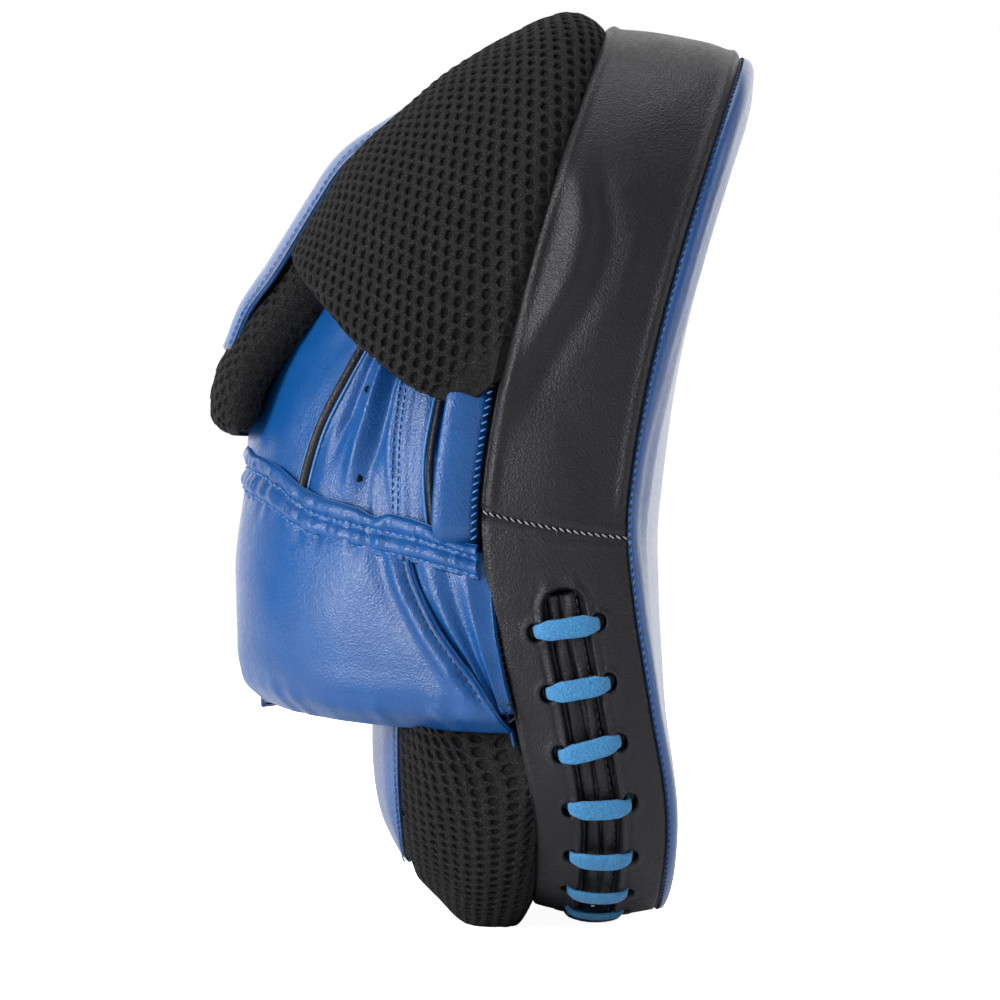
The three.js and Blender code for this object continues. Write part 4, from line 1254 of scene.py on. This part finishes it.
def glove_side_details(shape, sign):
    """Double seam, two perforations drawn as near-black plugs of painted shade, and the piped edge of one side
    of the glove.
    """
    vs = np.linspace(0.03, 0.97, 160)
    for place in (0.0, 0.018):
        ts = sign * (soft([(0, 0.845), (0.3, 0.85), (0.6, 0.835), (1, 0.79)], vs) + place)
        line, n = on_glove(vs, ts, 1.15)
        seam(shape, line, n, 2.2, 1.5, 0.24, number=1)
    # each perforation is a near-black plug standing out of the leather, painted shade in place of a hole
    for v, tau in ((0.13, 0.73), (0.46, 0.715)):
        centre, n = on_glove(np.array([v]), np.array([sign * tau]), 0.6)
        tube(shape, np.concatenate([centre - n, centre, centre + n * 0.45]), 1.15, 14, number=2)
    vs = np.linspace(0.0, 1, 160)
    ts = sign * (0.985 - 0.012 * np.sin(vs * 9))
    out = fan_normal(glove, vs, ts, GLOVE_CORE)
    tube(shape, glove(vs, ts) + out * 0.7, 1.0, 10, number=3)
    tube(shape, glove(vs, ts - sign * 0.02) + out * 1.1, 0.4, 8, number=1)


def glove_all():
    overlap = 0.01
    glove_piece("glove_back_leather", "glove_back_panel", lambda v: -seam_tau(v) + overlap,
                lambda v: seam_tau(v) - overlap, 150)
    v = np.linspace(0, 1, 160)
    for side, sign in SIDES:
        glove_piece(f"glove_side_leather_{side}", f"glove_side_{side}",
                    lambda v, s=sign: s * (seam_tau(v) + overlap), lambda v, s=sign: s * (0.996 + 0 * v),
                    120, sign)
        line = glove(v, sign * seam_tau(v))
        out = fan_normal(glove, v, sign * seam_tau(v), GLOVE_CORE)
        shape = Shape()
        tube(shape, line + out * (0.5 + 0.15 * noise(line, 9, 73))[:, None], 1.55, 14)
        for step in (-0.02, 0.02):
            edge_line = glove(v, sign * (seam_tau(v) + step))
            tube(shape, edge_line + out * 0.35, 0.42, 8, number=1)
        shape.finish(f"glove_piping_{side}", [BLACK, THREAD_BLUE], "black_leather",
                     [f"glove_piping_back_{side}"])


# ---------------------------------------------------------------- cuff
def cuff_height(tau, h):
    """Height above the floor: h is 0 at the hem and 1 at the foot of the cuff."""
    return mix(hem_z(tau), foot_z(tau), h)


def cuff_folds(tau, h, z):
    """Soft waves, gathers under the hem, tucks at the foot, and the pull of the gusset's seam."""
    arc = tau * CUFF_AROUND
    waves = 1.1 * noise(stack(arc, z, 0), 34, 81) + 0.45 * noise(stack(arc, z, 0), 15, 82)
    gathers = 1.1 * noise(stack(arc, z * 0.2, 0), 4.6, 83) * smooth(0.24, 0.06, h)
    tucks = 1.1 * noise(stack(arc, z * 0.16, 7), 5.2, 84) * smooth(0.8, 0.98, h)
    pull = np.abs(tau) - gusset_tau(h)
    tension = 1.5 * bump(pull, -0.05, 0.022) - 0.9 * bump(pull, -0.015, 0.012)
    tension = tension - 0.7 * bump(pull, -0.095, 0.03)
    crow = 0.8 * noise(stack(arc + z * 0.9, z * 0.2, 3), 6, 85) * bump(pull, -0.02, 0.06)
    return waves + gathers + tucks + (tension + crow) * smooth(0.02, 0.2, h) * smooth(1, 0.8, h)


def cuff_outer():
    """The padded wrist cuff, turned in at its foot."""
    steps = ((0, 0.3, 40), (0.3, 0.85, 60), (0.85, 1, 26))
    h = np.concatenate([[0], *(np.linspace(*step)[1:] for step in steps)])[:, None]
    tau = np.linspace(-1, 1, 380)[None] * gusset_tau(h)
    z = cuff_height(tau, h)
    out = soft(OUT_PROFILE, h) + cuff_folds(tau, h, z)
    turned_in = [cuff(tau[-1:], z[-1:] - lower, out[-1:] - inner)
                 for lower, inner in ((0.9, 1.2), (1.2, 2.6), (0.8, 4.2), (-0.6, 5.3))]
    shape = Shape()
    shell(shape, np.concatenate([cuff(tau, z, out), *turned_in]), 1.4, CUFF_CORE)
    shape.finish("cuff_outer_leather", [BLUE], "blue_leather", ["cuff_outer"], fill=0.8)


def cuff_gusset(side, sign):
    h = np.linspace(0, 0.9, 90)[:, None]
    t = np.linspace(0, 1, 60)[None]
    tau = sign * mix(gusset_tau(h) - 0.004, 0.998, t)
    z = cuff_height(tau, h)
    wave = 1.2 * bump(t, 0.3, 0.14) - 0.9 * bump(t, 0.55, 0.12) + 1.1 * bump(t, 0.8, 0.1)
    out = soft([(0, 0), (0.2, 1.6), (0.42, 2.4), (0.7, 2), (0.9, 0.6)], h) + wave * smooth(0.0, 0.25, h)
    out = out - 0.8 * bump(t, 0, 0.05) + 0.3 * noise(stack(t * 20, z, 0), 7, 87)
    rows = cuff(tau, z, out)
    rows[..., 0] += 2.4 * smooth(0.8, 1, t)
    shape = Shape()
    shell(shape, rows, 1.4, CUFF_CORE)
    hs = np.linspace(0.06, 0.83, 110)
    line = cuff(sign * (gusset_tau(hs) - 0.012), cuff_height(gusset_tau(hs), hs), soft(OUT_PROFILE, hs) + 0.7)
    seam(shape, line, unit(line - CUFF_CORE), 2.4, 1.5, 0.26, number=2)
    zs = np.linspace(66, 112, 90)
    whip = stack(seam_x(zs) + 1.6, sign * 93.2, zs)
    seam(shape, whip, np.array([0, sign, 0]), 2.3, 1.0, 0.3, lean=2.6, sink=-0.3, number=2)
    shape.finish(f"cuff_gusset_leather_{side}", [BLUE, THREAD_BLUE, THREAD_BLACK], "blue_leather",
                 [f"cuff_gusset_{side}"])


def cuff_lining():
    h = np.linspace(0.012, 0.985, 80)[:, None]
    tau = np.linspace(-0.66, 0.66, 200)[None]
    z = cuff_height(tau, h)
    out = soft(LINING_PROFILE, h) + 0.35 * noise(stack(tau * CUFF_AROUND, z, 0), 14, 88)
    shape = Shape()
    shell(shape, cuff(tau, z, out), 1.0, CUFF_CORE)
    shape.finish("cuff_lining_cloth", [LINING], "lining", ["cuff_lining"])


HEM_TOP = -0.055
HEM_PROFILE = [(HEM_TOP, 0.3), (-0.045, 1.3), (-0.02, 2.2), (0.0, 2.2), (0.022, 1.3), (0.04, 1.2),
               (0.06, 2.2), (0.09, 2.9), (0.11, 2.6), (0.128, 1.9), (0.15, 1.7)]
HEM_CORE = np.array([-35, 0, 118])


def hem_ruffle(arc, z):
    return 0.75 * noise(stack(arc, z * 0.25, 0), 4.4, 91) + 0.35 * noise(stack(arc, z * 0.4, 5), 2.2, 92)


def cuff_hem():
    h = np.linspace(HEM_TOP, 0.15, 44)[:, None]
    tau = np.linspace(-0.99, 0.99, 600)[None]
    z = cuff_height(tau, h)
    arc = tau * CUFF_AROUND
    rise = 1.0 * noise(stack(arc, 0 * z, 9), 8, 93) * smooth(0.06, -0.05, h)
    out = soft(HEM_PROFILE, h) + hem_ruffle(arc, z) * smooth(HEM_TOP, 0.0, h)
    shape = Shape()
    shell(shape, cuff(tau, z + rise, out), 0.7, HEM_CORE)
    ts = np.linspace(-0.98, 0.98, 700)
    for place, lift in ((0.026, 1.5), (0.128, 2.1)):
        zs = cuff_height(ts, place)
        line = cuff(ts, zs, lift + hem_ruffle(ts * CUFF_AROUND, zs))
        seam(shape, line, unit(line - HEM_CORE), 2.5, 1.7, 0.26, number=1)
    shape.finish("cuff_hem_leather", [BLUE, THREAD_BLUE], "dark_blue_binding", ["cuff_hem"])


# ---------------------------------------------------------------- closure on the far side
CUFF_WALL = 5               # the closure lies on this offset of the cuff


class ClosurePiece:
    """A flat piece on the cuff's far side: tau and height ranges, and its outer and inner offset."""

    def __init__(self, taus, zs, top, bottom, corner, grain=0.0):
        self.taus, self.zs, self.top = taus, zs, top
        u, v = net(90, 80)
        reach = np.minimum(v, 1 - v) * (zs[1] - zs[0])
        round_off = corner - np.sqrt(np.clip(corner**2 - (corner - reach) ** 2, 0, None))
        cut = np.where(reach < corner, round_off, 0) / (CUFF_AROUND * (taus[1] - taus[0]))
        tau = taus[0] + u * (taus[1] - taus[0]) * (1 - cut)
        z = mix(zs[0], zs[1], v) + 0 * u
        puff = 0.5 * smooth(0, 0.06, np.minimum(np.minimum(u, 1 - u), np.minimum(v, 1 - v)))
        rough = grain * noise(stack(tau * CUFF_AROUND, z, 0), 1.4, 95)
        self.shape = Shape()
        shell(self.shape, cuff(tau, z, CUFF_WALL + top - 0.5 + puff + rough), top - bottom, CUFF_CORE)

    def frame_seam(self):
        """Stitches round the piece, just inside its edge."""
        rise, fall = np.linspace(0.06, 0.94, 60), np.linspace(0.88, 0.12, 60)
        go, back = np.linspace(0.05, 0.93, 60), np.linspace(0.93, 0.05, 60)
        us = np.concatenate([0 * rise + 0.03, go, 0 * fall + 0.94, back])
        vs = np.concatenate([rise, 0 * go + 0.94, fall, 0 * back + 0.06])
        line = cuff(mix(*self.taus, us), mix(*self.zs, vs), CUFF_WALL + self.top + 0.1)
        seam(self.shape, line, unit(line - CUFF_CORE), 2.6, 1.8, 0.25, number=1)


def closure():
    flap = ClosurePiece((0.3, 0.68), (63.5, 118), 5.6, 3.8, 9)
    flap.frame_seam()
    flap.shape.finish("closure_flap_leather", [BLUE_DEEP, THREAD_BLUE], "blue_leather", ["closure_flap"],
                      body="flap")
    for name, node, top, bottom, body in (("loop_tape", "loop_patch", 1.7, 0.5, "mitt"),
                                          ("hook_tape", "hook_patch", 3.3, 2.2, "flap")):
        tape = ClosurePiece((0.38, 0.64), (80, 110), top, bottom, 3, 0.2)
        tape.shape.finish(name, [TAPE, THREAD_BLUE], "hook_and_loop", [node], body=body)


strike_cover()
band_upper()
band_lower()
tongue()
lace()
seam_threads()
for name, sign in SIDES:
    hood_patch(name, sign)
hood_panel()
hood_inside()
tongue_pad()
for name, sign in SIDES:
    heel_patch(name, sign)
heel_panel()
back_cover()
glove_all()
cuff_outer()
for name, sign in SIDES:
    cuff_gusset(name, sign)
cuff_lining()
cuff_hem()
closure()

# the foams keep their own solids, which are closed inside the covers
for name in ("foam_impact", "foam_mid", "foam_back", "cuff_foam", "heel_foam"):
    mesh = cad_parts[name].data
    mesh.materials.clear()
    mesh.materials.append(FOAM)


# ---------------------------------------------------------------- floor and light
WHITE = (1, 1, 1, 1)
FLOOR_HALF = 6.0
FLOOR_GLOW = 0.95           # seen by the camera only, so that the floor is as white as the backdrop
LIGHT_AIM = (0, 0, 0.14)
SOFTBOXES = (               # place, size and watts
    ("key", (-1.3, -1.05, 1.1), (1.0, 1.2), 16),
    ("side", (-1.55, -0.85, 0.4), (0.6, 0.8), 19),
    ("front", (0.3, -1.8, 1.0), (1.0, 1.0), 3.5),
    ("top", (0.15, 0.1, 1.4), (1.0, 1.0), 7.5),
    ("right", (1.5, -0.1, 0.4), (0.7, 1.2), 6),
    ("backdrop", (0, 1.5, 0.45), (3.0, 1.8), 24),
)


def floor():
    n = Nodes("pale_floor")
    seen = n.new("ShaderNodeLightPath").outputs["Is Camera Ray"]
    glow = n.new("ShaderNodeMath", {"operation": "MULTIPLY", 1: FLOOR_GLOW}, {0: seen}).outputs[0]
    n.set({"Base Color": WHITE, "Roughness": 0.9, "Specular IOR Level": 0.1,
           "Emission Color": WHITE, "Emission Strength": glow})
    mesh = bpy.data.meshes.new("floor")
    r = FLOOR_HALF
    mesh.from_pydata([(-r, -r, 0), (r, -r, 0), (r, r, 0), (-r, r, 0)], [], [(0, 1, 2, 3)])
    mesh.materials.append(n.material)
    plane = bpy.data.objects.new("floor", mesh)
    bpy.context.scene.collection.objects.link(plane)


def softbox(name, place, size, power):
    data = bpy.data.lights.new(name, "AREA")
    data.shape = "RECTANGLE"
    data.size, data.size_y = size
    data.energy = power
    light = bpy.data.objects.new(name, data)
    light.location = place
    light.rotation_euler = (Vector(LIGHT_AIM) - Vector(place)).to_track_quat("-Z", "Y").to_euler()
    light.visible_camera = False
    bpy.context.scene.collection.objects.link(light)


def backdrop(tree, strength):
    made = tree.nodes.new("ShaderNodeBackground")
    made.inputs["Color"].default_value = WHITE
    made.inputs["Strength"].default_value = strength
    return made.outputs[0]


def studio():
    """A white world that lights little, and softboxes round the mitt."""
    world = bpy.data.worlds.new("studio")
    world.use_nodes = True
    tree = world.node_tree
    rays = tree.nodes.new("ShaderNodeLightPath")
    pick = tree.nodes.new("ShaderNodeMixShader")
    tree.links.new(rays.outputs["Is Camera Ray"], pick.inputs[0])
    tree.links.new(backdrop(tree, 0.1), pick.inputs[1])
    tree.links.new(backdrop(tree, 1.0), pick.inputs[2])
    tree.links.new(pick.outputs[0], tree.nodes["World Output"].inputs["Surface"])
    bpy.context.scene.world = world
    for box in SOFTBOXES:
        softbox(*box)


floor()
studio()
